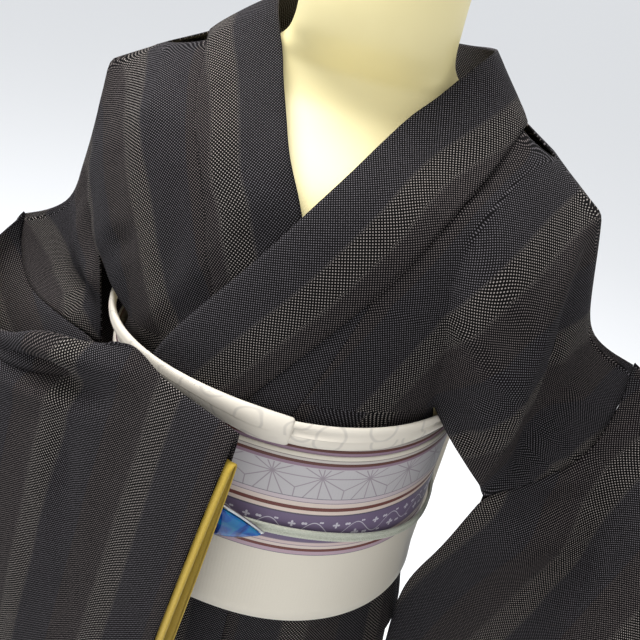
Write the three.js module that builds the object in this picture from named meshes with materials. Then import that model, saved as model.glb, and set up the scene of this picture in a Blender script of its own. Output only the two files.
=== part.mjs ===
// A striped kimono with its sash set, dressed on a limbless form with a pole and a round base.
// Millimetres, +Z up. The front faces -Y and the wearer's left is +X.
// The origin is at the centre of the base's underside, on the floor.
import * as THREE from 'three';

// Driving sizes, all of the worn garment
const CLOTH = 1.5;                // wall of one layer of lined cloth
const LINING = 1.4;
const COLLAR_CLOTH = 2.6;         // the collar is folded double
const SEAM_GAP = 0.3;             // pieces at a seam lie this far apart
const HEM_Z = 22;                 // hem above the floor
const TUCK_BOTTOM_Z = 884;        // lower fold of the waist tuck
const TIE_Z = 962;                // where the tuck is tied, under the sash
const SASH_BOTTOM_Z = 945;
const SASH_TOP_Z = 1112;
const CHEST_LOW_Z = 1142;         // the panels go under the sash's scarf here
const LAYER = 3.6;                // step inwards from one layer of the tuck to the next
const LAP_STEP = 7.5;             // the lower front lies this far inside the upper one
const SQUARENESS = 2.3;           // power of the body's section, a little squarer than an ellipse
const SLEEVE_DEPTH = 490;         // shoulder fold to lower edge
const CUFF_OPENING = 235;         // open part of the sleeve's front edge

const LOOK = {
  cloth: { color: 0x37333a, roughness: 0.85 },
  lining: { color: 0xa88a2c, roughness: 0.8 },
  sash: { color: 0xe4dccb, roughness: 0.7 },
  scarf: { color: 0xeae4d6, roughness: 0.75 },
  cord: { color: 0xc3c9bc, roughness: 0.7 },
  stone: { color: 0x1f7fb4, roughness: 0.1 },
  silver: { color: 0xb9bdbf, roughness: 0.25, metalness: 1 },
  form: { color: 0xefe0a6, roughness: 0.5 },
  stand: { color: 0xd9d9d6, roughness: 0.35, metalness: 0.2 },
};

function table(names, rows) {
  return rows.map((row) => Object.fromEntries(names.map((name, i) => [name, row[i]])));
}

// A row of a table at any value of its first column, on a smooth curve through the rows
function look(rows, at) {
  const key = Object.keys(rows[0])[0];
  const last = rows.length - 1;
  const value = Math.min(Math.max(at, rows[0][key]), rows[last][key]);
  let i = 0;
  while (i < last - 1 && rows[i + 1][key] < value) i += 1;
  const span = rows[i + 1][key] - rows[i][key];
  const t = (value - rows[i][key]) / span;
  const out = {};
  for (const name of Object.keys(rows[0])) {
    const slope = (j) => {
      const a = rows[Math.max(j - 1, 0)];
      const b = rows[Math.min(j + 1, last)];
      return (b[name] - a[name]) / (b[key] - a[key]);
    };
    const p = rows[i][name];
    const q = rows[i + 1][name];
    out[name] = p * (2 * t ** 3 - 3 * t ** 2 + 1) + q * (3 * t ** 2 - 2 * t ** 3)
      + slope(i) * span * (t ** 3 - 2 * t ** 2 + t) + slope(i + 1) * span * (t ** 3 - t ** 2);
  }
  return out;
}

const clamp = (value, low, high) => Math.min(Math.max(value, low), high);
const mix = (a, b, t) => a + (b - a) * t;
const steps = (count, from = 0, to = 1) => (
  Array.from({ length: count + 1 }, (_, i) => mix(from, to, i / count)));
const soft = (value, from, to) => {
  const t = clamp((value - from) / (to - from), 0, 1);
  return t * t * (3 - 2 * t);
};
const point = (x, y, z) => new THREE.Vector3(x, y, z);

// The dressed body by height: half width, depth to the front and to the back of its middle
const BODY = table(['z', 'half', 'front', 'back', 'middle'], [
  [0, 146, 118, 112, 0], [300, 150, 122, 118, 0], [600, 160, 130, 132, 4], [760, 164, 134, 138, 6],
  [860, 156, 135, 134, 2], [900, 150, 132, 130, 0], [950, 138, 126, 121, 0],
  [1080, 136, 125, 118, 0], [1127, 141, 127, 116, 0], [1160, 149, 125, 111, 0],
  [1190, 159, 120, 110, 0], [1225, 172, 112, 111, 0], [1258, 185, 100, 107, 0],
  [1280, 194, 86, 99, 0], [1290, 199, 78, 93, 1], [1310, 166, 62, 84, 8],
  [1330, 128, 50, 74, 15], [1350, 92, 45, 62, 20], [1372, 40, 30, 40, 24]]);
const BROADEST_Z = 1290;

// A point of the body's surface at x and z, on the front (face -1) or the back (face 1),
// moved out along the surface's own normal
function onBody(x, z, face, out = 0) {
  const row = look(BODY, z);
  const depth = face < 0 ? row.front : row.back;
  const share = Math.min(Math.abs(x) / row.half, 1);
  const q = face * Math.sqrt(1 - share ** SQUARENESS);
  const here = point(x, row.middle + q * depth, z);
  if (!out) return here;
  const above = look(BODY, z + 1);
  const below = look(BODY, z - 1);
  const rise = (name) => (above[name] - below[name]) / 2;
  const deepen = rise(face < 0 ? 'front' : 'back');
  const normal = point(
    Math.sign(x) * SQUARENESS * share ** (SQUARENESS - 1) / row.half,
    2 * q / depth,
    -SQUARENESS * share ** SQUARENESS * rise('half') / row.half
      - 2 * q * (rise('middle') + q * deepen) / depth);
  return here.addScaledVector(normal.normalize(), out);
}

// Height of the shoulder line at x: where the body's half width is x
function shoulderHeight(x) {
  let low = BROADEST_Z;
  let high = BODY.at(-1).z;
  for (let i = 0; i < 30; i += 1) {
    const middle = (low + high) / 2;
    if (look(BODY, middle).half > Math.abs(x)) low = middle;
    else high = middle;
  }
  return (low + high) / 2;
}

// Collar seams and free edges on the chest, x by height
const LEFT_SEAM = table(['z', 'x'], [
  [880, -36], [1000, -30], [1080, -20], [1129, 6], [1179, 40], [1220, 68], [1258, 90],
  [1288, 104], [1310, 115], [1332, 124]]);
const LEFT_EDGE = table(['z', 'x'], [
  [880, -104], [1000, -100], [1100, -82], [1150, -62], [1202, -28], [1234, -6], [1262, 11],
  [1289, 28], [1320, 46], [1345, 63]]);
const RIGHT_SEAM = table(['z', 'x'], [
  [880, 36], [1000, 26], [1080, 12], [1140, -12], [1190, -37], [1247, -57], [1262, -66],
  [1291, -86], [1320, -104], [1336, -116]]);
const RIGHT_EDGE = table(['z', 'x'], [
  [880, 104], [1000, 98], [1100, 76], [1150, 58], [1200, 38], [1262, 8], [1278, -4],
  [1298, -20], [1323, -38], [1350, -56]]);
const LEFT_LAP_SEAM = table(['z', 'x'], [
  [0, 44], [700, 40], [885, 30], [1000, 28], [1112, 33], [1130, 39], [1163, 51], [1194, 61],
  [1222, 69]]);
const RIGHT_LAP_SEAM = table(['z', 'x'], [
  [0, -44], [700, -40], [885, -30], [1000, -28], [1112, -33], [1140, -22], [1165, -24]]);
const SIDE_SHARE = 0.99999;       // the side seam leaves a millimetre between front and back
const LAP_EDGE = 112;             // the free front edges of the skirt end this far past the middle

// The hanging part of each body panel past the chest, row by row from the underarm to the
// shoulder end: the front fold, the sleeve seam, and the same two at the back
const DRAPE_COLUMNS = ['v', 'chest', 'backChest', 'foldX', 'foldY', 'foldZ', 'seamX', 'seamY', 'seamZ',
  'backX', 'backY', 'backZ', 'backSeamX', 'backSeamY', 'backSeamZ', 'bulge'];
const LEFT_DRAPE = table(DRAPE_COLUMNS, [
  [0, 126, 126, 176, -70, 1094, 182, -70, 1086, 176, 72, 1100, 184, 74, 1090, 4],
  [0.18, 124, 124, 184, -79, 1144, 214, -46, 1098, 184, 78, 1142, 222, 50, 1102, 8],
  [0.4, 114, 114, 182, -80, 1195, 244, -16, 1116, 186, 74, 1190, 248, 20, 1118, 10],
  [0.7, 128, 128, 181, -60, 1250, 254, -3, 1156, 190, 54, 1240, 256, 5, 1158, 7],
  [1, 150, 150, 192, 0, 1294, 252, 0, 1194, 192, 0, 1294, 252, 0, 1194, 0]]);
const RIGHT_DRAPE = table(DRAPE_COLUMNS, [
  [0, 104, 126, 148, -64, 1168, 140, -60, 1088, 160, 66, 1120, 168, 70, 1088, 4],
  [0.18, 108, 124, 160, -56, 1176, 182, -50, 1092, 172, 70, 1146, 200, 56, 1090, 6],
  [0.4, 114, 118, 170, -44, 1192, 226, -30, 1096, 180, 66, 1184, 234, 30, 1098, 8],
  [0.7, 128, 128, 184, -28, 1234, 250, -10, 1116, 186, 46, 1236, 250, 10, 1120, 6],
  [1, 150, 150, 191, 0, 1296, 255, 0, 1146, 191, 0, 1296, 255, 0, 1146, 0]]);
// Folds across the hanging part, from the front fold to the sleeve seam
const LEFT_FOLDS = table(['at', 'forward', 'inward'], [
  [0, 0, 0], [0.3, -16, 9], [0.65, -13, 17], [0.85, -3, 10], [1, 0, 0]]);
const RIGHT_FOLDS = table(['at', 'forward', 'inward'], [
  [0, 0, 0], [0.2, -16, 8], [0.42, 8, 16], [0.66, -16, 21], [0.85, -6, 12], [1, 0, 0]]);

const SIDES = {
  left: { sign: 1, seam: LEFT_SEAM, drape: LEFT_DRAPE, folds: LEFT_FOLDS, lap: LEFT_LAP_SEAM },
  right: { sign: -1, seam: RIGHT_SEAM, drape: RIGHT_DRAPE, folds: RIGHT_FOLDS, lap: RIGHT_LAP_SEAM },
};

const CHEST_COLUMNS = 6;
const EDGE_COLUMNS = 3;
const DRAPE_CELLS = 5;
const CHEST_ROWS = [0, 0.09, 0.18, 0.29, 0.4, 0.52, 0.64, 0.76, 0.88, 1];
const SHOULDER_NECK_X = 124;      // the collar seam on the shoulder line
const CENTRE_GAP = 0.3;           // half the gap at the centre back seam
const backNeck = (v) => Math.max(CENTRE_GAP, SHOULDER_NECK_X * soft(v, 0.62, 1.02));

// The lower front goes inside the upper one where it is covered
const LAP_SLOPE = [26, 6];        // it starts and ends this far before the upper one's edge
function lapDepth(x, z) {
  const edge = mix(look(LEFT_EDGE, z).x, -LAP_EDGE, soft(z, 1080, SASH_BOTTOM_Z));
  return LAP_STEP * soft(x, edge - LAP_SLOPE[0], edge - LAP_SLOPE[1]);
}

// One column of the chest: its height on the shoulder line
const columnTop = (share) => shoulderHeight(mix(SHOULDER_NECK_X, look(LEFT_DRAPE, 1).chest, share));

// A row of the chest and drape at v, from the collar seam out to the sleeve seam
function chestRow(name, v, face, neck) {
  const { sign, drape, folds } = SIDES[name];
  const d = look(drape, v);
  const rise = Math.sin(v * Math.PI / 2);
  const row = [];
  for (const share of steps(CHEST_COLUMNS)) {
    const z = mix(CHEST_LOW_Z, columnTop(share), rise);
    const x = mix(neck(v, z), sign * (face < 0 ? d.chest : d.backChest), share);
    const depth = name === 'right' && face < 0 ? -lapDepth(x, z) : 0;
    row.push(onBody(x, z, face, depth));
  }
  const chest = row.at(-1);
  const front = face < 0;
  const fold = point(sign * (front ? d.foldX : d.backX), front ? d.foldY : d.backY,
    front ? d.foldZ : d.backZ);
  const seam = point(sign * (front ? d.seamX : d.backSeamX), front ? d.seamY : d.backSeamY,
    front ? d.seamZ : d.backSeamZ);
  for (const t of steps(EDGE_COLUMNS).slice(1)) {
    const p = chest.clone().lerp(fold, t);
    p.y += face * d.bulge * 4 * t * (1 - t);
    row.push(p);
  }
  const spread = clamp(v / 0.3, 0, 1);
  for (const t of steps(DRAPE_CELLS).slice(1)) {
    const p = fold.clone().lerp(seam, t);
    const shape = look(folds, t);
    const slack = front ? 1 : 0.6;
    p.y += face * shape.forward * slack * (1 - v) * spread;
    p.x -= sign * shape.inward * spread;
    p.z -= shape.inward * v;
    row.push(p);
  }
  return row;
}

// Rows under the sash: the tuck's layers and the skirt, from the sash's top to the hem
const LOWER_ROWS = table(['z', 'layer'], [
  [1115, 0], [1075, 0], [1040, 0], [950, 0], [910, 0], [888, 0], [TUCK_BOTTOM_Z, 0.5], [888, 1],
  [920, 1], [956, 1], [TIE_Z, 1.5], [956, 2], [900, 2], [820, 2], [700, 2], [560, 2], [380, 2], [200, 2], [HEM_Z, 2]]);

// Under the sash the lower front clears the upper one's tuck
const tuckLap = (z) => mix(1.75, 1, soft(z, 1000, 1110));

function lowerRow(face, z, layer, from, to, columns, lower) {
  const half = look(BODY, z).half;
  const angle = (x) => Math.asin(clamp(x / half, -1, 1));
  const row = [];
  for (const share of steps(columns)) {
    const x = half * Math.sin(mix(angle(from), angle(to), share));
    const lap = lower && face < 0 ? lapDepth(x, z) * tuckLap(z) : 0;
    row.push(onBody(x, z, face, -layer * LAYER - lap));
  }
  return row;
}

// A closed wall from a grid of outer points: the outer and inner faces, and rims at every edge
function wall(name, grid, thickness, finish, options = {}) {
  const { wrap = false, cell = () => true, flip = false } = options;
  const rows = grid.length;
  const columns = grid[0].length;
  const index = (i, j) => i * columns + (wrap ? j % columns : j);
  const outer = grid.flat();
  const used = new Set();
  const faces = [];
  for (let i = 0; i + 1 < rows; i += 1) {
    for (let j = 0; j + (wrap ? 0 : 1) < columns; j += 1) {
      if (!cell(i, j)) continue;
      const q = [index(i, j), index(i, j + 1), index(i + 1, j + 1), index(i + 1, j)];
      const falling = outer[q[0]].distanceTo(outer[q[2]]);
      const rising = outer[q[1]].distanceTo(outer[q[3]]);
      if (falling < rising) faces.push([q[0], q[1], q[2]], [q[0], q[2], q[3]]);
      else faces.push([q[0], q[1], q[3]], [q[1], q[2], q[3]]);
      q.forEach((k) => used.add(k));
    }
  }
  const normals = outer.map(() => new THREE.Vector3());
  for (const [a, b, c] of faces) {
    const n = outer[b].clone().sub(outer[a]).cross(outer[c].clone().sub(outer[a]));
    if (flip) n.negate();
    for (const k of [a, b, c]) normals[k].add(n);
  }
  const place = new Map([...used].map((k, i) => [k, i]));
  const count = place.size;
  const positions = new Float32Array(count * 6);
  for (const [k, i] of place) {
    outer[k].toArray(positions, i * 3);
    outer[k].clone().addScaledVector(normals[k].normalize(), -thickness)
      .toArray(positions, (i + count) * 3);
  }
  const indices = [];
  const add = (a, b, c) => (flip ? indices.push(a, c, b) : indices.push(a, b, c));
  const edges = new Set(faces.flatMap(([a, b, c]) => [`${a},${b}`, `${b},${c}`, `${c},${a}`]));
  for (const [a, b, c] of faces) {
    add(place.get(a), place.get(b), place.get(c));
    add(place.get(a) + count, place.get(c) + count, place.get(b) + count);
  }
  for (const edge of edges) {
    const [a, b] = edge.split(',').map(Number);
    if (edges.has(`${b},${a}`)) continue;
    const [p, q] = [place.get(a), place.get(b)];
    add(q, p, p + count);
    add(q, p + count, q + count);
  }
  return meshOf(name, positions, indices, finish);
}

function meshOf(name, positions, indices, finish) {
  const geometry = new THREE.BufferGeometry();
  geometry.setAttribute('position', new THREE.BufferAttribute(positions, 3));
  geometry.setIndex(indices);
  geometry.computeVertexNormals();
  const mesh = new THREE.Mesh(geometry, new THREE.MeshStandardMaterial(finish));
  mesh.name = name;
  return mesh;
}

// A solid of rings stacked along its length, closed at both ends by a point in the middle
function loft(name, rings, finish) {
  const size = rings[0].length;
  const points = rings.flat();
  const centre = (ring) => ring.reduce((sum, p) => sum.add(p), new THREE.Vector3())
    .multiplyScalar(1 / size);
  points.push(centre(rings[0]), centre(rings.at(-1)));
  const first = points.length - 2;
  const indices = [];
  for (let i = 0; i + 1 < rings.length; i += 1) {
    for (let j = 0; j < size; j += 1) {
      const [a, b] = [i * size + j, i * size + (j + 1) % size];
      indices.push(a, b, b + size, a, b + size, a + size);
    }
  }
  const top = (rings.length - 1) * size;
  for (let j = 0; j < size; j += 1) {
    indices.push(first, (j + 1) % size, j);
    indices.push(first + 1, top + j, top + (j + 1) % size);
  }
  return meshOf(name, new Float32Array(points.flatMap((p) => p.toArray())), indices, finish);
}

// Body panels: one length of cloth from the front hem over the shoulder to the back hem
function bodyPanel(name) {
  const { sign, seam, lap } = SIDES[name];
  const lower = name === 'right';
  const underarm = lower ? 0.82 : 0.93;
  const lapTopZ = 1221;
  const frontNeck = (v, z) => {
    if (lower) return z > 1165 ? look(seam, z).x : look(lap, z).x - SEAM_GAP;
    return z > lapTopZ ? look(seam, z).x : look(lap, z).x + 2 * SEAM_GAP;
  };
  const rows = [];
  const lowerRows = (face, from, reverse) => {
    const list = LOWER_ROWS.map(({ z, layer }) => {
      const side = sign * look(BODY, z).half * mix(SIDE_SHARE, underarm, soft(z, 1050, 1130));
      const row = lowerRow(face, z, layer, from(z, layer), side, CHEST_COLUMNS, lower);
      const spare = row.at(-1);
      for (let i = 0; i < EDGE_COLUMNS + DRAPE_CELLS; i += 1) row.push(spare.clone());
      return row;
    });
    return reverse ? list.reverse() : list;
  };
  const frontFrom = (z) => look(lap, z).x + sign * SEAM_GAP;
  const frontLower = lowerRows(-1, frontFrom, true);
  const backLower = lowerRows(1, () => sign * CENTRE_GAP, false);
  rows.push(...frontLower);
  for (const v of CHEST_ROWS) rows.push(chestRow(name, v, -1, frontNeck));
  const backFrom = (v) => sign * backNeck(v);
  for (const v of CHEST_ROWS.slice(0, -1).reverse()) rows.push(chestRow(name, v, 1, backFrom));
  rows.push(...backLower);
  const firstChest = frontLower.length;
  const lastChest = firstChest + 2 * (CHEST_ROWS.length - 1);
  const cell = (i, j) => (i >= firstChest && i < lastChest) || j < CHEST_COLUMNS;
  return wall(`${name}_body`, rows, CLOTH, LOOK.cloth, { cell, flip: sign < 0 });
}

// The narrow front laps, sewn to the body panels, tapering to a point under the collar
function lapPanel(name) {
  const { sign, seam, lap } = SIDES[name];
  const lower = name === 'right';
  const topZ = lower ? 1160 : 1219;
  const columns = 4;
  const rows = [];
  for (const t of steps(5, 1, 0)) {
    const z = mix(SASH_TOP_Z, topZ, t);
    const from = look(lap, z).x - 2 * sign * SEAM_GAP;
    const to = look(seam, z).x + sign * COLLAR_GAP;
    const row = steps(columns).map((share) => {
      const x = mix(from, to, share);
      return onBody(x, z, -1, lower ? -lapDepth(x, z) : 0);
    });
    rows.push(row);
  }
  for (const { z, layer } of LOWER_ROWS) {
    const from = look(lap, z).x - 2 * sign * SEAM_GAP;
    const seamX = look(seam, Math.max(z, 890)).x;
    const to = mix(seamX + sign * COLLAR_GAP, -sign * (LAP_EDGE - 6), soft(layer, 0.6, 1.9));
    rows.push(lowerRow(-1, z, layer, from, to, columns, lower));
  }
  return wall(`${name}_front_lap`, rows, CLOTH, LOOK.cloth, { flip: sign < 0 });
}

// The collar: one folded strip from the left front, round the neck, to the right front.
// On the chest its two edges follow the seam and the fold line; round the neck it stands up.
const CHEST_COLLAR = table(['seamZ', 'foldZ'], [
  [888, 888], [910, 910], [930, 930], [950, 950], [1010, 1012], [1060, 1068], [1100, 1116],
  [1129, 1150], [1155, 1178], [1179, 1202], [1200, 1226], [1220, 1248], [1240, 1270], [1258, 1289], [1275, 1308],
  [1288, 1326]]);
// Round the neck: the row of the panel's edge, on its front or back, and the fold line
const NECK_COLLAR = table(['order', 'face', 'v', 'foldX', 'foldY', 'foldZ'], [
  [0, 1, 0.64, 0, 112, 1352], [1, 1, 0.7, 26, 109, 1355], [2, 1, 0.76, 44, 101, 1360],
  [3, 1, 0.82, 60, 88, 1364], [4, 1, 0.88, 72, 72, 1368], [5, 1, 0.94, 80, 50, 1371],
  [6, 1, 1, 80, 20, 1372], [7, -1, 0.94, 76, 8, 1367], [8, -1, 0.88, 71, -2, 1361],
  [9, -1, 0.76, 64, -11, 1352], [10, -1, 0.64, 56, -21, 1341]]);
const NECK_CENTRE_X = 6;          // the form's neck stands a little to the wearer's left
const COLLAR_GAP = 1.3;           // from the collar's seam edge to the panel's
const COLLAR_OUT = 1.8;           // its outer face over the panel's
const COLLAR_BELLY = 2.5;         // it rounds outwards between its edges
const UNDER_SASH = 0.5;           // and is pressed in by this much under the sash
const COLLAR_LIFT = 1;            // its standing part sits over the panels' edge by this much
const COLLAR_COLUMNS = 4;

function collarChest(name, { seamZ, foldZ }) {
  const right = name === 'right';
  const sign = right ? -1 : 1;
  const seamX = look(right ? RIGHT_SEAM : LEFT_SEAM, seamZ).x - sign * COLLAR_GAP;
  const foldX = look(right ? RIGHT_EDGE : LEFT_EDGE, foldZ).x;
  return steps(COLLAR_COLUMNS).map((t) => {
    const x = mix(seamX, foldX, t);
    const z = mix(seamZ, foldZ, t);
    const under = right ? lapDepth(x, z) * tuckLap(z) : 0;
    const belly = COLLAR_BELLY * 4 * t * (1 - t) * soft(z, 1125, 1170);
    const pressed = UNDER_SASH * (1 - soft(z, 1100, 1150));
    return onBody(x, z, -1, COLLAR_OUT + belly - under - pressed);
  });
}

function collarNeck(name, { face, v, foldX, foldY, foldZ }) {
  const sign = name === 'right' ? -1 : 1;
  const z = mix(CHEST_LOW_Z, columnTop(0), Math.sin(v * Math.PI / 2));
  const x = face > 0 ? backNeck(v) : Math.abs(look(sign > 0 ? LEFT_SEAM : RIGHT_SEAM, z).x);
  const seam = onBody(sign * x, z, face, COLLAR_OUT);
  const centred = soft(v, 0.64, 0.8);
  seam.add(point(-sign * COLLAR_GAP * centred, 0, 2 * COLLAR_GAP * (1 - centred) + COLLAR_LIFT));
  const fold = point(sign * foldX + NECK_CENTRE_X * soft(foldX, 0, 50), foldY, foldZ);
  const outwards = point(sign * 0.8, 0.2, 0.6);
  return steps(COLLAR_COLUMNS).map((t) => (
    seam.clone().lerp(fold, t).addScaledVector(outwards, 2.4 * COLLAR_BELLY * t * (1 - t))));
}

function collar() {
  const chest = (name) => CHEST_COLLAR.map((row) => collarChest(name, row));
  const neck = (name) => NECK_COLLAR.slice(1).map((row) => collarNeck(name, row));
  const rows = [...chest('left'), ...neck('left').reverse(), collarNeck('left', NECK_COLLAR[0]),
    ...neck('right'), ...chest('right').reverse()];
  return wall('collar', rows, COLLAR_CLOTH, LOOK.cloth, { flip: true });
}

// Sleeves. Their body-side edge: the armhole, then the open edge below the underarm
const LEFT_UNDERARM = table(['t', 'x', 'front', 'backX', 'back', 'z'], [
  [0.42, 182, -70, 184, 74, 1086], [0.55, 168, -52, 192, 66, 1018], [0.68, 151, -32, 190, 58, 945],
  [0.8, 152, -24, 186, 48, 872], [0.92, 160, -16, 178, 34, 800], [1, 166, 4, 166, 4, 762]]);
const RIGHT_UNDERARM = table(['t', 'x', 'front', 'backX', 'back', 'z'], [
  [0.42, 140, -60, 168, 70, 1088], [0.55, 156, -54, 172, 64, 1015], [0.68, 168, -48, 178, 56, 930],
  [0.8, 176, -40, 182, 44, 840], [0.92, 184, -28, 186, 30, 750], [1, 188, -4, 188, -4, 696]]);
// Sections along the sleeve from the armhole to the cuff: shoulder fold, lower edge, fullness
const SLEEVE_COLUMNS = ['s', 'foldX', 'foldY', 'foldZ', 'hemX', 'hemY', 'hemZ', 'front', 'back'];
const LEFT_SLEEVE = table(SLEEVE_COLUMNS, [
  [0, 252, 0, 1194, 166, 4, 762, 34, 34], [0.2, 300, -8, 1168, 214, -2, 735, 30, 30],
  [0.5, 352, -52, 1122, 286, -42, 690, 22, 24], [0.75, 384, -105, 1086, 330, -95, 655, 16, 18],
  [1, 396, -165, 1062, 352, -150, 625, 10, 11]]);
const RIGHT_SLEEVE = table(SLEEVE_COLUMNS, [
  [0, 255, 0, 1146, 188, -4, 696, 30, 30], [0.14, 271, -32, 1112, 198, -30, 656, 18, 26],
  [0.3, 238, -84, 1090, 192, -88, 640, 12, 24], [0.48, 180, -113, 1102, 160, -128, 640, 11, 16],
  [0.66, 107, -126, 1134, 112, -151, 644, 9.5, 14], [0.75, 78, -133, 1146, 88, -158, 644, 9, 13],
  [0.84, 44, -146, 1136, 70, -162, 643, 9, 12], [1, -18, -168, 1134, 42, -168, 640, 9, 11]]);
const ARMHOLE_SHARE = 0.42;       // of the sleeve's depth
const SLEEVE_GAP = 1.5;           // between the armhole and the panel
Object.assign(SIDES.left, { underarm: LEFT_UNDERARM, sleeve: LEFT_SLEEVE });
Object.assign(SIDES.right, { underarm: RIGHT_UNDERARM, sleeve: RIGHT_SLEEVE });

// Shares of the depth down one layer of the sleeve
const LAYER_STEPS = [...CHEST_ROWS.map((v) => ARMHOLE_SHARE * v), 0.5, 0.6, 0.7, 0.8, 0.9, 0.96, 1];

function armholePoint(side, t, front) {
  const { sign, drape, underarm } = side;
  if (t <= ARMHOLE_SHARE) {
    const d = look(drape, 1 - t / ARMHOLE_SHARE);
    return front ? point(sign * d.seamX, d.seamY, d.seamZ)
      : point(sign * d.backSeamX, d.backSeamY, d.backSeamZ);
  }
  const row = look(underarm, t);
  return point(sign * (front ? row.x : row.backX), front ? row.front : row.back, row.z);
}

function sleevePoint(side, s, t, front) {
  const { sign, sleeve } = side;
  const here = look(sleeve, s);
  const reach = 0.02;
  const before = look(sleeve, Math.max(s - reach, 0));
  const after = look(sleeve, Math.min(s + reach, 1));
  const along = point(sign * (after.foldX - before.foldX), after.foldY - before.foldY, 0).normalize();
  const ahead = point(along.y, -along.x, 0).multiplyScalar(sign);
  const fold = point(sign * here.foldX, here.foldY, here.foldZ);
  const hem = point(sign * here.hemX, here.hemY, here.hemZ);
  const full = Math.sin(Math.PI * clamp(t, 0, 1)) ** 0.45;
  const swell = (front ? here.front : -here.back) * full;
  const p = fold.clone().lerp(hem, t).addScaledVector(ahead, swell);
  const near = 1 - soft(s, 0, 0.4);
  const start = sleeve[0];
  const edge = armholePoint(side, t, front);
  edge.add(fold.clone().sub(point(sign * start.foldX, start.foldY, start.foldZ)));
  return p.lerp(edge, near);
}

function sleeveLoop(side, s, shift = 0) {
  const front = LAYER_STEPS.map((t) => sleevePoint(side, s, t, true));
  const back = LAYER_STEPS.slice(1, -1).reverse().map((t) => sleevePoint(side, s, t, false));
  const loop = [...front, ...back];
  loop.forEach((p) => p.add(point(side.sign * shift, 0, -shift)));
  return loop;
}

const SLEEVE_STATIONS = [0, 0.07, 0.14, 0.22, 0.3, 0.4, 0.5, 0.59, 0.67, 0.75, 0.8, 0.86, 0.93, 1];

function sleeve(name) {
  const side = SIDES[name];
  const rows = SLEEVE_STATIONS.map((s) => sleeveLoop(side, s, s === 0 ? SLEEVE_GAP : 0));
  return wall(`${name}_sleeve`, rows, CLOTH, LOOK.cloth, { wrap: true, flip: side.sign < 0 });
}

const CUFF_TOP = 0.045;           // the lining turns over this far below the shoulder fold
// The lining's rolled edge at the cuff, inside the opening and just past the cloth
function cuffLining(name) {
  const side = SIDES[name];
  const share = CUFF_OPENING / SLEEVE_DEPTH;
  const layers = steps(9, share, CUFF_TOP);
  const path = [...layers.map((t) => [t, true]), ...layers.reverse().map((t) => [t, false])];
  const edge = (s) => look(side.sleeve, s);
  const out = point(side.sign * (edge(1).foldX - edge(0.96).foldX), edge(1).foldY - edge(0.96).foldY, 0)
    .normalize();
  const rims = table(['s', 'past', 'inside'], [
    [0.93, 0, 3], [0.98, 0, 3], [1, 1.6, 2.4], [1, 4.2, 0.8], [1, 6.4, 2.6]]);
  const rows = rims.map(({ s, past, inside }) => path.map(([t, front]) => {
    const p = sleevePoint(side, s, t, front);
    const middle = sleevePoint(side, s, t, true).lerp(sleevePoint(side, s, t, false), 0.5);
    const inward = middle.sub(p);
    const width = inward.length() || 1;
    return p.addScaledVector(inward, inside / width).addScaledVector(out, past);
  }));
  return wall(`${name}_cuff_lining`, rows, LINING, LOOK.lining, { flip: side.sign > 0 });
}

// The sash set. A ring follows the body, out from its surface, all the way round
const RING_COLUMNS = 40;

function ringPoint(angle, z, out) {
  const half = look(BODY, z).half;
  const face = Math.cos(angle) >= 0 ? -1 : 1;
  return onBody(half * Math.sin(angle) * SIDE_SHARE, z, face, out);
}

function ring(name, profile, thickness, finish, dip = () => 0) {
  const angles = steps(RING_COLUMNS, 0, 2 * Math.PI).slice(0, -1);
  const rows = profile.map(({ z, out }) => angles.map((a) => ringPoint(a, z + dip(a), out)));
  return wall(name, rows, thickness, finish, { wrap: true });
}

// A closed ring of round section, as the scarf and the cord
function cordRing(name, { z, out, high, deep, sides, dip = () => 0 }, finish) {
  const angles = steps(RING_COLUMNS, 0, 2 * Math.PI).slice(0, -1);
  const turns = steps(sides, 0, 2 * Math.PI).slice(0, -1);
  const points = angles.flatMap((a) => turns.map((u) => (
    ringPoint(a, z + dip(a) + high * Math.sin(u), out + deep * Math.cos(u)))));
  const indices = [];
  const at = (i, j) => (i % RING_COLUMNS) * sides + (j % sides);
  for (let i = 0; i < RING_COLUMNS; i += 1) {
    for (let j = 0; j < sides; j += 1) {
      indices.push(at(i, j), at(i + 1, j), at(i + 1, j + 1));
      indices.push(at(i, j), at(i + 1, j + 1), at(i, j + 1));
    }
  }
  return meshOf(name, new Float32Array(points.flatMap((p) => p.toArray())), indices, finish);
}

const SASH_OUT = 7;
const SASH_WALL = 3.8;
const SASH_PROFILE = table(['z', 'out'], [
  [SASH_BOTTOM_Z, SASH_OUT + 0.6], [985, SASH_OUT], [1030, SASH_OUT], [1075, SASH_OUT],
  [SASH_TOP_Z, SASH_OUT - 0.6]]);
const SCARF = { z: 1121.4, out: 7, high: 9, deep: 3.6, sides: 8,
  dip: (a) => 5 * Math.sin(a) ** 2 + (1 - Math.cos(a)) };
const CORD = { z: 1037, out: 10.3, high: 4, deep: 2.6, sides: 8, dip: (a) => -22 * Math.sin(a) ** 4 };

// The drum knot at the back: a loop of sash with its tail below it
const DRUM_HALF = 148;
const DRUM_MIDDLE = { y: 170, z: 1010 };
const DRUM_LOOP = table(['y', 'z'], [
  [138, 890], [137.8, 940], [138.4, 1040], [140, 1108], [147, 1142], [160, 1156], [176, 1150],
  [192, 1118], [203, 1060], [206, 1000], [200, 930], [186, 882], [170, 866], [152, 868]]);

function drum() {
  const rows = steps(8, -1, 1).map((t) => DRUM_LOOP.map(({ y, z }) => {
    const pinch = 1 - 0.06 * Math.abs(t) ** 4;
    const deep = Math.max(y - DRUM_MIDDLE.y, 0) * (pinch - 1);
    return point(t * DRUM_HALF, y + deep, mix(DRUM_MIDDLE.z, z, pinch));
  }));
  return wall('sash_drum_knot', rows, 3, LOOK.sash, { wrap: true, flip: true });
}

const TAIL = table(['y', 'z'], [
  [137.6, 798], [137.6, 840], [137.4, 880], [136.4, 925], [132.7, 948], [129.9, 985], [129.3, 1012]]);
const TAIL_HALF = 146;

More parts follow.
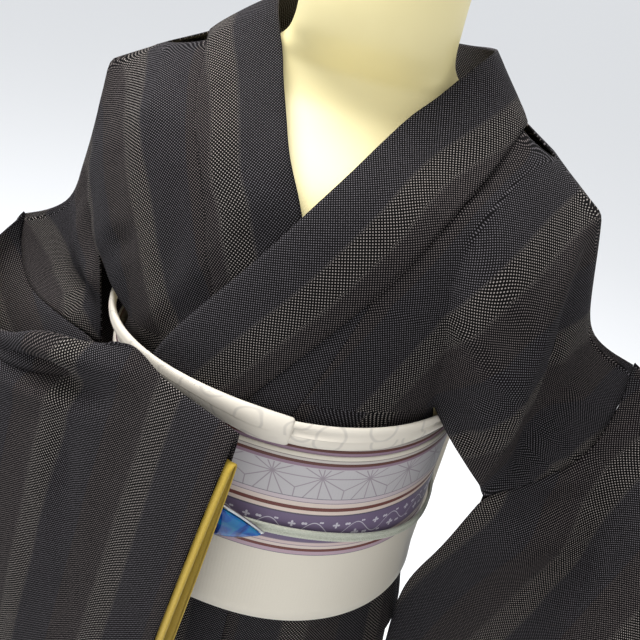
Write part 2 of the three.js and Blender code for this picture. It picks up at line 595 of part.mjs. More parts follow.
function tail() {
  const grid = TAIL.map(({ y, z }) => steps(6, -TAIL_HALF, TAIL_HALF).map((x) => point(x, y, z)));
  return wall('sash_tail', grid, 3, LOOK.sash, { flip: true });
}

// The clasp: a pointed oval of glass in a silver rim, bent to the sash
const CLASP = { x: 5, z: 1037, half: 33, high: 12, rim: 2 };

function claspSolid(name, grow, from, to, dome, finish) {
  const count = 24;
  const outline = steps(count, 0, 2 * Math.PI).slice(0, -1).map((a) => {
    const reach = Math.cos(a);
    const rise = Math.sign(Math.sin(a)) * (1 - Math.abs(reach) ** 1.7);
    return [reach * (CLASP.half + grow), rise * (CLASP.high + grow)];
  });
  const levels = dome
    ? [[1, from], [1, mix(from, to, 0.35)], [0.86, mix(from, to, 0.75)], [0.55, mix(from, to, 0.96)],
      [0.2, to]]
    : [[1, from], [1, to]];
  const rings = levels.map(([size, out]) => outline.map(([x, z]) => (
    onBody(CLASP.x + x * size, CLASP.z + z * size, -1, out))));
  return loft(name, rings, finish);
}

// The form: a smooth torso with a neck, its cap, the pole and the base
// Below the neck it is the body's own section, this far inside it and lower at the shoulders
const FORM_INSET = table(['z', 'side', 'front', 'back', 'drop'], [
  [640, 26, 40, 24, 0], [720, 20, 34, 20, 0], [800, 16, 31, 17, 0], [860, 24, 32, 18, 0],
  [910, 24, 31, 16, 0], [955, 22, 30, 14, 0], [1010, 10, 23, 6, 0], [1080, 7, 18, 4, 0],
  [1140, 7, 14, 4, 0], [1180, 7, 13, 4, 0], [1220, 14, 13, 5, 0], [1250, 20, 13, 5, 2],
  [1270, 26, 13, 6, 4], [1284, 26, 13, 7, 8], [1300, 6, 12, 7, 9], [1318, 3, 11, 7, 9]]);
const NECK = table(['z', 'half', 'front', 'back', 'middle'], [
  [1337, 82, 36, 54, 14], [1350, 64, 42, 52, 10], [1364, 58, 50, 53, 5], [1384, 57, 54, 54, 1],
  [1410, 57, 55, 55, 0], [1442, 57, 55, 55, -3]]);
const FORM = [...FORM_INSET.map(({ z, side, front, back, drop }) => {
  const body = look(BODY, z + drop);
  return { z, half: body.half - side, front: body.front - front, back: body.back - back,
    middle: body.middle };
}), ...NECK];
const FORM_SIDES = 36;
const CAP_HEIGHT = 10;
const POLE_RADIUS = 15;
const BASE_RADIUS = 172;
const BASE_HEIGHT = 16;

function formRing({ z, half, front, back, middle }, grow = 0) {
  const centreX = NECK_CENTRE_X * soft(z, 1310, 1380);
  return steps(FORM_SIDES, 0, 2 * Math.PI).slice(0, -1).map((a) => {
    const depth = Math.cos(a) >= 0 ? front : back;
    const across = Math.sign(Math.sin(a)) * Math.abs(Math.sin(a)) ** 0.95;
    return point(centreX + across * (half + grow), middle - Math.cos(a) * (depth + grow), z);
  });
}

function form() {
  const torso = loft('form_torso', FORM.map((row) => formRing(row)), LOOK.form);
  const top = FORM.at(-1);
  const levels = [[0.3, -6], [1.2, -3], [CAP_HEIGHT - 3, -3], [CAP_HEIGHT, -7]];
  const cap = loft('form_neck_cap', levels.map(([up, grow]) => (
    formRing({ ...top, z: top.z + up }, grow))), LOOK.stand);
  const poleFrom = BASE_HEIGHT + SEAM_GAP;
  const poleTo = FORM[0].z - SEAM_GAP;
  const pole = new THREE.Mesh(
    new THREE.CylinderGeometry(POLE_RADIUS, POLE_RADIUS, poleTo - poleFrom, 24),
    new THREE.MeshStandardMaterial(LOOK.stand));
  pole.rotation.x = Math.PI / 2;
  pole.position.z = (poleFrom + poleTo) / 2;
  pole.name = 'stand_pole';
  const profile = [[0, 0], [BASE_RADIUS - 2, 0], [BASE_RADIUS, 3], [BASE_RADIUS, 7],
    [BASE_RADIUS - 8, 11], [40, BASE_HEIGHT], [0, BASE_HEIGHT]].map(([r, h]) => new THREE.Vector2(r, h));
  const base = new THREE.Mesh(new THREE.LatheGeometry(profile, 48),
    new THREE.MeshStandardMaterial(LOOK.stand));
  base.rotation.x = Math.PI / 2;
  base.name = 'stand_base';
  return [torso, cap, pole, base];
}

const object = new THREE.Group();
object.add(
  bodyPanel('left'), bodyPanel('right'), lapPanel('left'), lapPanel('right'), collar(),
  sleeve('left'), sleeve('right'), cuffLining('left'), cuffLining('right'),
  ring('sash_band', SASH_PROFILE, SASH_WALL, LOOK.sash),
  cordRing('sash_scarf', SCARF, LOOK.scarf),
  cordRing('sash_cord', CORD, LOOK.cord),
  drum(), tail(),
  claspSolid('clasp_rim', CLASP.rim, 15, 17.8, false, LOOK.silver),
  claspSolid('clasp_stone', 0, 18.1, 24.5, true, LOOK.stone),
  ...form());
export default object;
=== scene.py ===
"""A striped kimono with its sash set, dressed on a limbless form: its looks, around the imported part.

Shapes are worked out in millimetres from the garment's sizes and turned to metres when a mesh is
made. The front faces -Y and the wearer's left is +X.
"""
import math

import bmesh
import bpy
import numpy as np
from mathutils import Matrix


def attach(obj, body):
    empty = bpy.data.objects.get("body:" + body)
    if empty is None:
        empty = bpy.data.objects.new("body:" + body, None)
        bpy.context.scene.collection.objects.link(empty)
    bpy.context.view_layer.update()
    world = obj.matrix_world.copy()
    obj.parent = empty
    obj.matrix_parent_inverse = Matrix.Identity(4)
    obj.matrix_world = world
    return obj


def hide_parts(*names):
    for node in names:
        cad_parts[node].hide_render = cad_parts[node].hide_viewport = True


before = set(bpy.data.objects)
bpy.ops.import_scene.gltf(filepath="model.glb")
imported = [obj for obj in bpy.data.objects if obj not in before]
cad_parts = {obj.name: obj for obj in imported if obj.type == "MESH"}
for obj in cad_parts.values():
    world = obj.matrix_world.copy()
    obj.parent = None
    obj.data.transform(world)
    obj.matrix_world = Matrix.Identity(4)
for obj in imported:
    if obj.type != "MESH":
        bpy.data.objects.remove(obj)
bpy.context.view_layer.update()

MM = 0.001

# Driving sizes, all of the worn garment
CLOTH = 1.4             # one layer of lined cloth
COLLAR_CLOTH = 2.4      # the collar is folded double
HEM_Z = 22
TUCK_BOTTOM_Z = 884
TIE_Z = 962
SASH_BOTTOM_Z = 945
SASH_TOP_Z = 1112
CHEST_LOW_Z = 1142
LAYER = 3.6             # step inwards from one layer of the waist tuck to the next
LAP_STEP = 7.5          # the lower front lies this far inside the upper one
SQUARENESS = 2.3
SLEEVE_DEPTH = 490
CUFF_OPENING = 235
STRIPE_REPEAT = 85      # width of one repeat of the cloth's stripes
DOT_PITCH = 2.7
FINE_PITCH = 2.3         # the smaller dots between the bright stripes
CONJUGATE_STEPS = 300
RELAX_STEPS = 3000
EASE = 0.1             # how far each step of the easing goes
SMOOTHINGS = 6         # rounds that take the small swirls out of the eased layout


class Table:
    """Rows of named columns, read at any value of the first column on a smooth curve."""

    def __init__(self, names, rows):
        self.names = names.split()
        self.rows = np.array(rows, float)
        last = len(self.rows) - 1
        before = self.rows[np.maximum(np.arange(last + 1) - 1, 0)]
        after = self.rows[np.minimum(np.arange(last + 1) + 1, last)]
        self.slopes = (after - before) / (after - before)[:, :1]

    def __call__(self, at, names):
        key = self.rows[:, 0]
        at = np.clip(np.asarray(at, float), key[0], key[-1])
        i = np.clip(np.searchsorted(key, at, side="left") - 1, 0, len(key) - 2)
        span = key[i + 1] - key[i]
        t = (at - key[i]) / span
        found = []
        for name in names.split():
            c = self.names.index(name)
            start = self.rows[i, c]
            end = self.rows[i + 1, c]
            found.append(start * (2 * t**3 - 3 * t**2 + 1) + end * (3 * t**2 - 2 * t**3)
                         + self.slopes[i, c] * span * (t**3 - 2 * t**2 + t)
                         + self.slopes[i + 1, c] * span * (t**3 - t**2))
        return found[0] if len(found) == 1 else found


def mix(a, b, t):
    return a + (b - a) * t


def soft(value, start, end):
    t = np.clip((np.asarray(value, float) - start) / (end - start), 0, 1)
    return t * t * (3 - 2 * t)


def join_axes(*parts):
    return np.stack(np.broadcast_arrays(*parts), -1).astype(float)


def unit(vectors):
    return vectors / np.maximum(np.linalg.norm(vectors, axis=-1, keepdims=True), 1e-9)


# The dressed body by height
BODY = Table("z half front back middle", [
    [0, 146, 118, 112, 0], [300, 150, 122, 118, 0], [600, 160, 130, 132, 4], [760, 164, 134, 138, 6],
    [860, 156, 135, 134, 2], [900, 150, 132, 130, 0], [950, 138, 126, 121, 0],
    [1080, 136, 125, 118, 0], [1127, 141, 127, 116, 0], [1160, 149, 125, 111, 0],
    [1190, 159, 120, 110, 0], [1225, 172, 112, 111, 0], [1258, 185, 100, 107, 0],
    [1280, 194, 86, 99, 0], [1290, 199, 78, 93, 1], [1310, 166, 62, 84, 8],
    [1330, 128, 50, 74, 15], [1350, 92, 45, 62, 20], [1372, 40, 30, 40, 24]])
BROADEST_Z = 1290


def on_body(x, z, face, out=0.0):
    """Points of the body's surface at x and z, on the front (-1) or back (1), moved out along its normal."""
    x, z, face, out = np.broadcast_arrays(x, z, face, out)
    half, front, back, middle = BODY(z, "half front back middle")
    depth = np.where(face < 0, front, back)
    share = np.minimum(np.abs(x) / half, 1)
    q = face * np.sqrt(np.maximum(1 - share**SQUARENESS, 0))
    here = join_axes(x, middle + q * depth, z)
    above = BODY(z + 1, "half front back middle")
    below = BODY(z - 1, "half front back middle")
    rise = [(a - b) / 2 for a, b in zip(above, below)]
    deepen = np.where(face < 0, rise[1], rise[2])
    normal = join_axes(
        np.sign(x) * SQUARENESS * share**(SQUARENESS - 1) / half,
        2 * q / depth,
        -SQUARENESS * share**SQUARENESS * rise[0] / half - 2 * q * (rise[3] + q * deepen) / depth)
    return here + unit(normal) * out[..., None]


def shoulder_height(x):
    """Height of the shoulder line at x: where the body's half width is x."""
    z = np.linspace(BROADEST_Z, 1372, 400)
    return np.interp(-np.abs(x), -BODY(z, "half"), z)


# Collar seams and free edges on the chest, x by height
LEFT_SEAM = Table("z x", [
    [880, -36], [1000, -30], [1080, -20], [1129, 6], [1179, 40], [1220, 68], [1258, 90],
    [1288, 104], [1310, 115], [1332, 124]])
LEFT_EDGE = Table("z x", [
    [880, -104], [1000, -100], [1100, -82], [1150, -62], [1202, -28], [1234, -6], [1262, 11],
    [1289, 28], [1320, 46], [1345, 63]])
RIGHT_SEAM = Table("z x", [
    [880, 36], [1000, 26], [1080, 12], [1140, -12], [1190, -37], [1247, -57], [1262, -66],
    [1291, -86], [1320, -104], [1336, -116]])
RIGHT_EDGE = Table("z x", [
    [880, 104], [1000, 98], [1100, 76], [1150, 58], [1200, 38], [1262, 8], [1278, -4],
    [1298, -20], [1323, -38], [1350, -56]])
LEFT_LAP_SEAM = Table("z x", [
    [0, 44], [700, 40], [885, 30], [1000, 28], [1112, 33], [1130, 39], [1163, 51], [1194, 61],
    [1222, 69]])
RIGHT_LAP_SEAM = Table("z x", [
    [0, -44], [700, -40], [885, -30], [1000, -28], [1112, -33], [1140, -22], [1165, -24]])
SIDE_SHARE = 0.99999
LAP_EDGE = 112
LAP_SLOPE = (26, 6)

# The hanging part of each panel past the chest, from the underarm (v 0) to the shoulder end (v 1)
DRAPE = ("v chest back_chest fold_x fold_y fold_z seam_x seam_y seam_z "
         "back_x back_y back_z back_seam_x back_seam_y back_seam_z bulge")
LEFT_DRAPE = Table(DRAPE, [
    [0, 126, 126, 176, -70, 1094, 182, -70, 1086, 176, 72, 1100, 184, 74, 1090, 4],
    [0.18, 124, 124, 184, -79, 1144, 214, -46, 1098, 184, 78, 1142, 222, 50, 1102, 8],
    [0.4, 114, 114, 182, -80, 1195, 244, -16, 1116, 186, 74, 1190, 248, 20, 1118, 10],
    [0.7, 128, 128, 181, -60, 1250, 254, -3, 1156, 190, 54, 1240, 256, 5, 1158, 7],
    [1, 150, 150, 192, 0, 1294, 252, 0, 1194, 192, 0, 1294, 252, 0, 1194, 0]])
RIGHT_DRAPE = Table(DRAPE, [
    [0, 104, 126, 148, -64, 1168, 140, -60, 1088, 160, 66, 1120, 168, 70, 1088, 4],
    [0.18, 108, 124, 160, -56, 1176, 182, -50, 1092, 172, 70, 1146, 200, 56, 1090, 6],
    [0.4, 114, 118, 170, -44, 1192, 226, -30, 1096, 180, 66, 1184, 234, 30, 1098, 8],
    [0.7, 128, 128, 184, -28, 1234, 250, -10, 1116, 186, 46, 1236, 250, 10, 1120, 6],
    [1, 150, 150, 191, 0, 1296, 255, 0, 1146, 191, 0, 1296, 255, 0, 1146, 0]])
LEFT_FOLDS = Table("at forward inward", [
    [0, 0, 0], [0.3, -16, 9], [0.65, -13, 17], [0.85, -3, 10], [1, 0, 0]])
RIGHT_FOLDS = Table("at forward inward", [
    [0, 0, 0], [0.2, -16, 8], [0.42, 8, 16], [0.66, -16, 21], [0.85, -6, 12], [1, 0, 0]])

SHOULDER_NECK_X = 124
CENTRE_GAP = 0.3

# Open edge of each sleeve below the armhole, on its body side
LEFT_UNDERARM = Table("t x front back_x back z", [
    [0.42, 182, -70, 184, 74, 1086], [0.55, 168, -52, 192, 66, 1018], [0.68, 151, -32, 190, 58, 945],
    [0.8, 152, -24, 186, 48, 872], [0.92, 160, -16, 178, 34, 800], [1, 166, 4, 166, 4, 762]])
RIGHT_UNDERARM = Table("t x front back_x back z", [
    [0.42, 140, -60, 168, 70, 1088], [0.55, 156, -54, 172, 64, 1015], [0.68, 168, -48, 178, 56, 930],
    [0.8, 176, -40, 182, 44, 840], [0.92, 184, -28, 186, 30, 750], [1, 188, -4, 188, -4, 696]])
# Sections of each sleeve from the armhole (s 0) to the cuff (s 1)
SLEEVE = "s fold_x fold_y fold_z hem_x hem_y hem_z front back"
LEFT_SLEEVE = Table(SLEEVE, [
    [0, 252, 0, 1194, 166, 4, 762, 34, 34], [0.2, 300, -8, 1168, 214, -2, 735, 30, 30],
    [0.5, 352, -52, 1122, 286, -42, 690, 22, 24], [0.75, 384, -105, 1086, 330, -95, 655, 16, 18],
    [1, 396, -165, 1062, 352, -150, 625, 10, 11]])
RIGHT_SLEEVE = Table(SLEEVE, [
    [0, 255, 0, 1146, 188, -4, 696, 30, 30], [0.14, 271, -32, 1112, 198, -30, 656, 18, 26],
    [0.3, 238, -84, 1090, 192, -88, 640, 12, 24], [0.48, 180, -113, 1102, 160, -128, 640, 11, 16],
    [0.66, 107, -126, 1134, 112, -151, 644, 9.5, 14], [0.75, 78, -133, 1146, 88, -158, 644, 9, 13],
    [0.84, 44, -146, 1136, 70, -162, 643, 9, 12], [1, -18, -168, 1134, 42, -168, 640, 9, 11]])
ARMHOLE_SHARE = 0.42
SLEEVE_GAP = 0.2

SIDES = {
    "left": {"sign": 1, "seam": LEFT_SEAM, "drape": LEFT_DRAPE, "folds": LEFT_FOLDS,
             "lap": LEFT_LAP_SEAM, "underarm": LEFT_UNDERARM, "sleeve": LEFT_SLEEVE},
    "right": {"sign": -1, "seam": RIGHT_SEAM, "drape": RIGHT_DRAPE, "folds": RIGHT_FOLDS,
              "lap": RIGHT_LAP_SEAM, "underarm": RIGHT_UNDERARM, "sleeve": RIGHT_SLEEVE},
}


def lap_depth(x, z):
    """How far the lower front goes inside where the upper one covers it."""
    edge = mix(LEFT_EDGE(z, "x"), -LAP_EDGE, soft(z, 1080, SASH_BOTTOM_Z))
    return LAP_STEP * soft(x, edge - LAP_SLOPE[0], edge - LAP_SLOPE[1])


def tuck_lap(z):
    return mix(1.75, 1, soft(z, 1000, 1110))


def column_top(share):
    return shoulder_height(mix(SHOULDER_NECK_X, LEFT_DRAPE(1, "chest"), share))


def back_neck(v):
    return np.maximum(CENTRE_GAP, SHOULDER_NECK_X * soft(v, 0.62, 1.02))


CHEST_COLUMNS = 26
EDGE_COLUMNS = 8
DRAPE_CELLS = 14
CHEST_ROWS = 44


def chest_grid(name, face, neck):
    """The chest and the hanging part on one face: rows from the sash up, columns outwards."""
    side = SIDES[name]
    sign = side["sign"]
    v = np.linspace(0, 1, CHEST_ROWS)[:, None]
    share = np.linspace(0, 1, CHEST_COLUMNS)[None, :]
    front = face < 0
    chest = side["drape"](v, "chest" if front else "back_chest")
    z = mix(CHEST_LOW_Z, column_top(share), np.sin(v * math.pi / 2))
    x = mix(neck(v, z), sign * chest, share)
    depth = -lap_depth(x, z) if name == "right" and front else 0
    panel = on_body(x, z, face, depth)
    at = side["drape"]
    spots = at(v[:, 0], "fold_x fold_y fold_z seam_x seam_y seam_z" if front
               else "back_x back_y back_z back_seam_x back_seam_y back_seam_z")
    fold = join_axes(sign * spots[0], spots[1], spots[2])[:, None, :]
    seam = join_axes(sign * spots[3], spots[4], spots[5])[:, None, :]
    t = np.linspace(0, 1, EDGE_COLUMNS + 1)[None, 1:, None]
    edge = mix(panel[:, -1:, :], fold, t)
    edge[..., 1] += face * at(v, "bulge") * 4 * t[..., 0] * (1 - t[..., 0])
    t = np.linspace(0, 1, DRAPE_CELLS + 1)[None, 1:, None]
    hang = mix(fold, seam, t)
    forward, inward = side["folds"](t[..., 0], "forward inward")
    spread = np.clip(v / 0.3, 0, 1)
    slack = 1 if front else 0.6
    hang[..., 1] += face * forward * slack * (1 - v) * spread
    hang[..., 0] -= sign * inward * spread
    hang[..., 2] -= inward * v
    return np.concatenate([panel, edge, hang], 1)


# Rows under the sash: the waist tuck's layers and the skirt, down to the hem
LOWER_ROWS = Table("step z layer", [
    [0, 1115, 0], [1, 1075, 0], [2, 1040, 0], [3, 950, 0], [4, 910, 0], [5, 888, 0],
    [6, TUCK_BOTTOM_Z, 0.5], [7, 888, 1], [8, 920, 1], [9, 956, 1], [10, TIE_Z, 1.5], [11, 956, 2],
    [12, 900, 2], [13, 820, 2], [14, 700, 2], [15, 560, 2], [16, 380, 2], [17, 200, 2],
    [18, HEM_Z, 2]])
LOWER_STEPS = np.concatenate([np.arange(0, 5), np.arange(5, 11, 0.5), np.arange(11, 18.01, 0.25)])


def lower_path():
    """Height and layer of each row under the sash."""
    z = np.interp(LOWER_STEPS, LOWER_ROWS.rows[:, 0], LOWER_ROWS.rows[:, 1])
    layer = np.interp(LOWER_STEPS, LOWER_ROWS.rows[:, 0], LOWER_ROWS.rows[:, 2])
    return z, layer


def lower_grid(face, start, end, columns, lower):
    """Rows under the sash between two edges given as x by height and layer."""
    z, layer = (a[:, None] for a in lower_path())
    half = BODY(z, "half")
    share = np.linspace(0, 1, columns)[None, :]
    first = np.arcsin(np.clip(start(z, layer) / half, -1, 1))
    final = np.arcsin(np.clip(end(z, layer) / half, -1, 1))
    x = half * np.sin(mix(first, final, share))
    lap = lap_depth(x, z) * tuck_lap(z) if lower and face < 0 else 0
    return on_body(x, z, face, -layer * LAYER - lap)


def panel_grids(name):
    """A body panel as four grids that meet row to row: lower front, front, back, lower back."""
    side = SIDES[name]
    sign = side["sign"]
    lower = name == "right"
    underarm = 0.82 if lower else 0.93
    lap_top_z = 1165 if lower else 1221

    def front_neck(v, z):
        return np.where(z > lap_top_z, side["seam"](z, "x") - sign * UNDER_COLLAR, side["lap"](z, "x"))

    def side_x(z, layer):
        return sign * BODY(z, "half") * mix(SIDE_SHARE, underarm, soft(z, 1050, 1130))

    chest = chest_grid(name, -1, front_neck)
    back = chest_grid(name, 1, lambda v, z: sign * back_neck(v) + 0 * z)
    skirt = lower_grid(-1, lambda z, layer: side["lap"](z, "x"), side_x, CHEST_COLUMNS, lower)
    tail = lower_grid(1, lambda z, layer: sign * CENTRE_GAP + 0 * z, side_x, CHEST_COLUMNS, lower)
    steps = np.linspace(0, 1, 5)[:-1, None, None]
    skirt = np.concatenate([mix(chest[:1, :CHEST_COLUMNS], skirt[:1], steps), skirt])
    tail = np.concatenate([mix(back[:1, :CHEST_COLUMNS], tail[:1], steps), tail])
    return [skirt[::-1], chest, back[::-1], tail]


COLLAR_GAP = 1.3
UNDER_COLLAR = 3         # the panels reach this far under the collar
LAP_COLUMNS = 12


def lap_grid(name):
    """The narrow front lap, from its point under the collar down to the hem."""
    side = SIDES[name]
    sign = side["sign"]
    lower = name == "right"
    top_z = 1160 if lower else 1219
    share = np.linspace(0, 1, LAP_COLUMNS)[None, :]
    z = np.linspace(top_z, SASH_TOP_Z, 18)[:, None]
    x = mix(side["lap"](z, "x"), side["seam"](z, "x") - sign * UNDER_COLLAR, share)
    upper = on_body(x, z, -1, -lap_depth(x, z) if lower else 0)

    def free_edge(z, layer):
        seam_x = side["seam"](np.maximum(z, 890), "x") - sign * UNDER_COLLAR
        return mix(seam_x, -sign * (LAP_EDGE - 6), soft(layer, 0.6, 1.9))

    rest = lower_grid(-1, lambda z, layer: side["lap"](z, "x"), free_edge,
                      LAP_COLUMNS, lower)
    return np.concatenate([upper, rest[1:]])


# The collar's two edges on the chest, and its seam row and fold line round the neck
CHEST_COLLAR = Table("seam_z fold_z", [
    [888, 888], [910, 910], [930, 930], [950, 950], [1010, 1012], [1060, 1068], [1100, 1116],
    [1129, 1150], [1155, 1178], [1179, 1202], [1200, 1226], [1220, 1248], [1240, 1270],
    [1258, 1289], [1275, 1308], [1288, 1326]])
NECK_COLLAR = [
    [1, 0.64, 0, 112, 1352], [1, 0.7, 26, 109, 1355], [1, 0.76, 44, 101, 1360],
    [1, 0.82, 60, 88, 1364], [1, 0.88, 72, 72, 1368], [1, 0.94, 80, 50, 1371],
    [1, 1, 80, 20, 1372], [-1, 0.94, 76, 8, 1367], [-1, 0.88, 71, -2, 1361],
    [-1, 0.76, 64, -11, 1352], [-1, 0.64, 56, -21, 1341]]
NECK_CENTRE_X = 6
COLLAR_OUT = 1.8
COLLAR_BELLY = 2.5
UNDER_SASH = 0.5
COLLAR_LIFT = 1
NAPE_OVERLAP = 6         # the collar comes down this far over the back panels' edge
COLLAR_COLUMNS = 11


def collar_chest(name, row):
    seam_z, fold_z = row
    right = name == "right"
    sign = -1 if right else 1
    t = np.linspace(0, 1, COLLAR_COLUMNS)
    seam_x = SIDES[name]["seam"](seam_z, "x") - sign * COLLAR_GAP
    fold_x = (RIGHT_EDGE if right else LEFT_EDGE)(fold_z, "x")
    x = mix(seam_x, fold_x, t)
    z = mix(seam_z, fold_z, t)
    under = lap_depth(x, z) * tuck_lap(z) if right else 0
    belly = COLLAR_BELLY * 4 * t * (1 - t) * soft(z, 1125, 1170)
    pressed = UNDER_SASH * (1 - soft(z, 1100, 1150))
    return on_body(x, z, -1, COLLAR_OUT + belly - under - pressed)


def collar_neck(name, row):
    face, v, fold_x, fold_y, fold_z = row
    sign = -1 if name == "right" else 1
    z = mix(CHEST_LOW_Z, column_top(0), math.sin(v * math.pi / 2))
    x = back_neck(v) if face > 0 else abs(SIDES[name]["seam"](z, "x"))
    centred = soft(v, 0.64, 0.8)
    seam = on_body(sign * x, z, face, COLLAR_OUT)
    seam = seam + [-sign * COLLAR_GAP * centred, 0, 2 * COLLAR_GAP * (1 - centred) + COLLAR_LIFT]
    if face > 0:
        seam = seam - [0, 0, NAPE_OVERLAP * (1 - soft(v, 0.92, 1))]
    fold = np.array([sign * fold_x + NECK_CENTRE_X * soft(fold_x, 0, 50), fold_y, fold_z])
    t = np.linspace(0, 1, COLLAR_COLUMNS)[:, None]
    outwards = np.array([sign * 0.8, 0.2, 0.6])
    return mix(seam, fold, t) + outwards * (2.4 * COLLAR_BELLY * t * (1 - t))


def smooth_rows(rows, count):
    """Rows of points resampled to a number of rows on a smooth curve through them."""
    rows = np.array(rows)
    lengths = np.linalg.norm(np.diff(rows, axis=0), axis=-1).mean(1)
    at = np.concatenate([[0], np.cumsum(lengths)])
    flat = np.concatenate([at[:, None], rows.reshape(len(rows), -1)], 1)
    names = "at " + " ".join(f"c{i}" for i in range(flat.shape[1] - 1))
    values = Table(names, flat)(np.linspace(0, at[-1], count), names)
    return np.stack(values[1:], -1).reshape(count, rows.shape[1], 3)


def collar_grid():
    chest = {side: [collar_chest(side, row) for row in CHEST_COLLAR.rows] for side in SIDES}
    neck = {side: [collar_neck(side, row) for row in NECK_COLLAR[1:]] for side in SIDES}
    rows = (chest["left"] + neck["left"][::-1] + [collar_neck("left", NECK_COLLAR[0])]
            + neck["right"] + chest["right"][::-1])
    return smooth_rows(rows, 190)


def armhole_point(side, t, front):
    """The sleeve's body-side edge at t down the layer: the armhole, then the open edge."""
    sign = side["sign"]
    d = side["drape"](1 - t / ARMHOLE_SHARE, "seam_x seam_y seam_z" if front
                      else "back_seam_x back_seam_y back_seam_z")
    u = side["underarm"](t, "x front z" if front else "back_x back z")
    hole = join_axes(sign * d[0], d[1], d[2])
    edge = join_axes(sign * u[0], u[1], u[2])
    return np.where((t <= ARMHOLE_SHARE)[..., None], hole, edge)


def sleeve_point(side, s, t, front):
    sign = side["sign"]
    at = side["sleeve"]
    fold_x, fold_y, fold_z, hem_x, hem_y, hem_z, ahead_by, back_by = at(
        s, "fold_x fold_y fold_z hem_x hem_y hem_z front back")
    before = at(np.maximum(s - 0.02, 0), "fold_x fold_y")
    after = at(np.minimum(s + 0.02, 1), "fold_x fold_y")
    along = unit(join_axes(sign * (after[0] - before[0]), after[1] - before[1], 0 * fold_x))
    ahead = join_axes(along[..., 1], -along[..., 0], 0 * fold_x) * sign
    fold = join_axes(sign * fold_x, fold_y, fold_z)
    hem = join_axes(sign * hem_x, hem_y, hem_z)
    full = np.maximum(np.sin(math.pi * np.clip(t, 0, 1)), 0)**0.45
    swell = (ahead_by if front else -back_by) * full
    p = mix(fold, hem, t[..., None]) + ahead * swell[..., None]
    near = (1 - soft(s, 0, 0.4))[..., None]
    start = at.rows[0]
    edge = armhole_point(side, t, front) + fold - np.array([sign * start[1], start[2], start[3]])
    return mix(p, edge, near)


SLEEVE_STATIONS = 46
LAYER_ROWS = 54


def sleeve_layer(name, front):
    """One layer of the sleeve: rows from the armhole to the cuff, columns from the fold down."""
    side = SIDES[name]
    s = np.linspace(0, 1, SLEEVE_STATIONS)[:, None]
    t = (1 - np.cos(np.linspace(0, math.pi, LAYER_ROWS)[None, :])) / 2
    s, t = np.broadcast_arrays(s, t)
    points = sleeve_point(side, s, t, front)
    points[0] += np.array([side["sign"] * SLEEVE_GAP, 0, -SLEEVE_GAP])
    return points


def arc(grid, axis):
    """Length along one direction of a grid of points."""
    steps = np.linalg.norm(np.diff(grid, axis=axis), axis=-1)
    return np.cumsum(np.concatenate([np.zeros_like(np.take(steps, [0], axis)), steps], axis), axis)


def stripe_place(grid, shift=0.0, slanted=True):
    """Sizes across the cloth, its stripes parallel to the grid's first column."""
    across = arc(grid, 1)
    lean = np.zeros(len(grid))
    if slanted:
        down = unit(np.gradient(grid[:, 0], axis=0))
        outward = unit(grid[:, 3] - grid[:, 0])
        lean = np.convolve(np.pad(np.sum(down * outward, -1), 3, mode="edge"), np.full(7, 1 / 7), "valid")
    return across * np.sqrt(1 - lean[:, None]**2) + shift


def spread_out(down, side):
    """Differences along rows and columns of a grid, gathered back to its points."""
    total = np.zeros((side.shape[0], down.shape[1]))
    total[1:] += down
    total[:-1] -= down
    total[:, 1:] += side
    total[:, :-1] -= side
    return total


def square_to(grid, u, start=0.0):
    """Sizes along the cloth, square to the sizes across it, as the threads of a weave are."""
    down = np.gradient(grid, axis=0)
    side = np.gradient(grid, axis=1)
    u_down = np.gradient(u, axis=0)
    u_side = np.gradient(u, axis=1)
    dd, ds, ss = (down * down).sum(-1), (down * side).sum(-1), (side * side).sum(-1)
    slope = (ss * u_down - ds * u_side)[..., None] * down + (dd * u_side - ds * u_down)[..., None] * side
    thread = unit(np.cross(unit(np.cross(down, side)), slope))
    thread = thread * np.sign((thread * down).sum())
    want = spread_out(((thread[1:] + thread[:-1]) / 2 * np.diff(grid, axis=0)).sum(-1),
                      ((thread[:, 1:] + thread[:, :-1]) / 2 * np.diff(grid, axis=1)).sum(-1))
    v = arc(grid, 0)
    left = want - spread_out(np.diff(v, axis=0), np.diff(v, axis=1))
    step = left.copy()
    size = (left * left).sum()
    for _ in range(CONJUGATE_STEPS):
        pushed = spread_out(np.diff(step, axis=0), np.diff(step, axis=1))
        rate = size / max((step * pushed).sum(), 1e-9)
        v = v + rate * step
        left = left - rate * pushed
        new_size = (left * left).sum()
        step = left + new_size / max(size, 1e-9) * step
        size = new_size
    return v - v[0].mean() + start


def relax(grid, sizes):
    """A layout eased until lengths in it match those on the cloth, as on the flat cut piece."""
    pairs = [((slice(1, None), slice(None)), (slice(None, -1), slice(None))),
             ((slice(None), slice(1, None)), (slice(None), slice(None, -1))),
             ((slice(1, None), slice(1, None)), (slice(None, -1), slice(None, -1))),
             ((slice(1, None), slice(None, -1)), (slice(None, -1), slice(1, None)))]
    lengths = [np.linalg.norm(grid[a] - grid[b], axis=-1) for a, b in pairs]
    flat = sizes.copy()
    for _ in range(RELAX_STEPS):
        push = np.zeros_like(flat)
        for (a, b), length in zip(pairs, lengths):
            gap = flat[a] - flat[b]
            size = np.maximum(np.linalg.norm(gap, axis=-1), 1e-6)
            pull = gap * ((length - size) / size)[..., None]
            push[a] += pull
            push[b] -= pull
        flat += push * EASE
    shift = flat - sizes
    for _ in range(SMOOTHINGS):
        wide = np.pad(shift, ((1, 1), (1, 1), (0, 0)), mode="reflect", reflect_type="odd")
        beside = wide[:-2, 1:-1] + wide[2:, 1:-1] + wide[1:-1, :-2] + wide[1:-1, 2:]
        shift = (wide[1:-1, 1:-1] * 2 + beside) / 6
    return sizes + shift


def weave(grid, shift=0.0, start=0.0, slanted=True):
    u = stripe_place(grid, shift, slanted)
    return np.stack([u, square_to(grid, u, start)], -1)


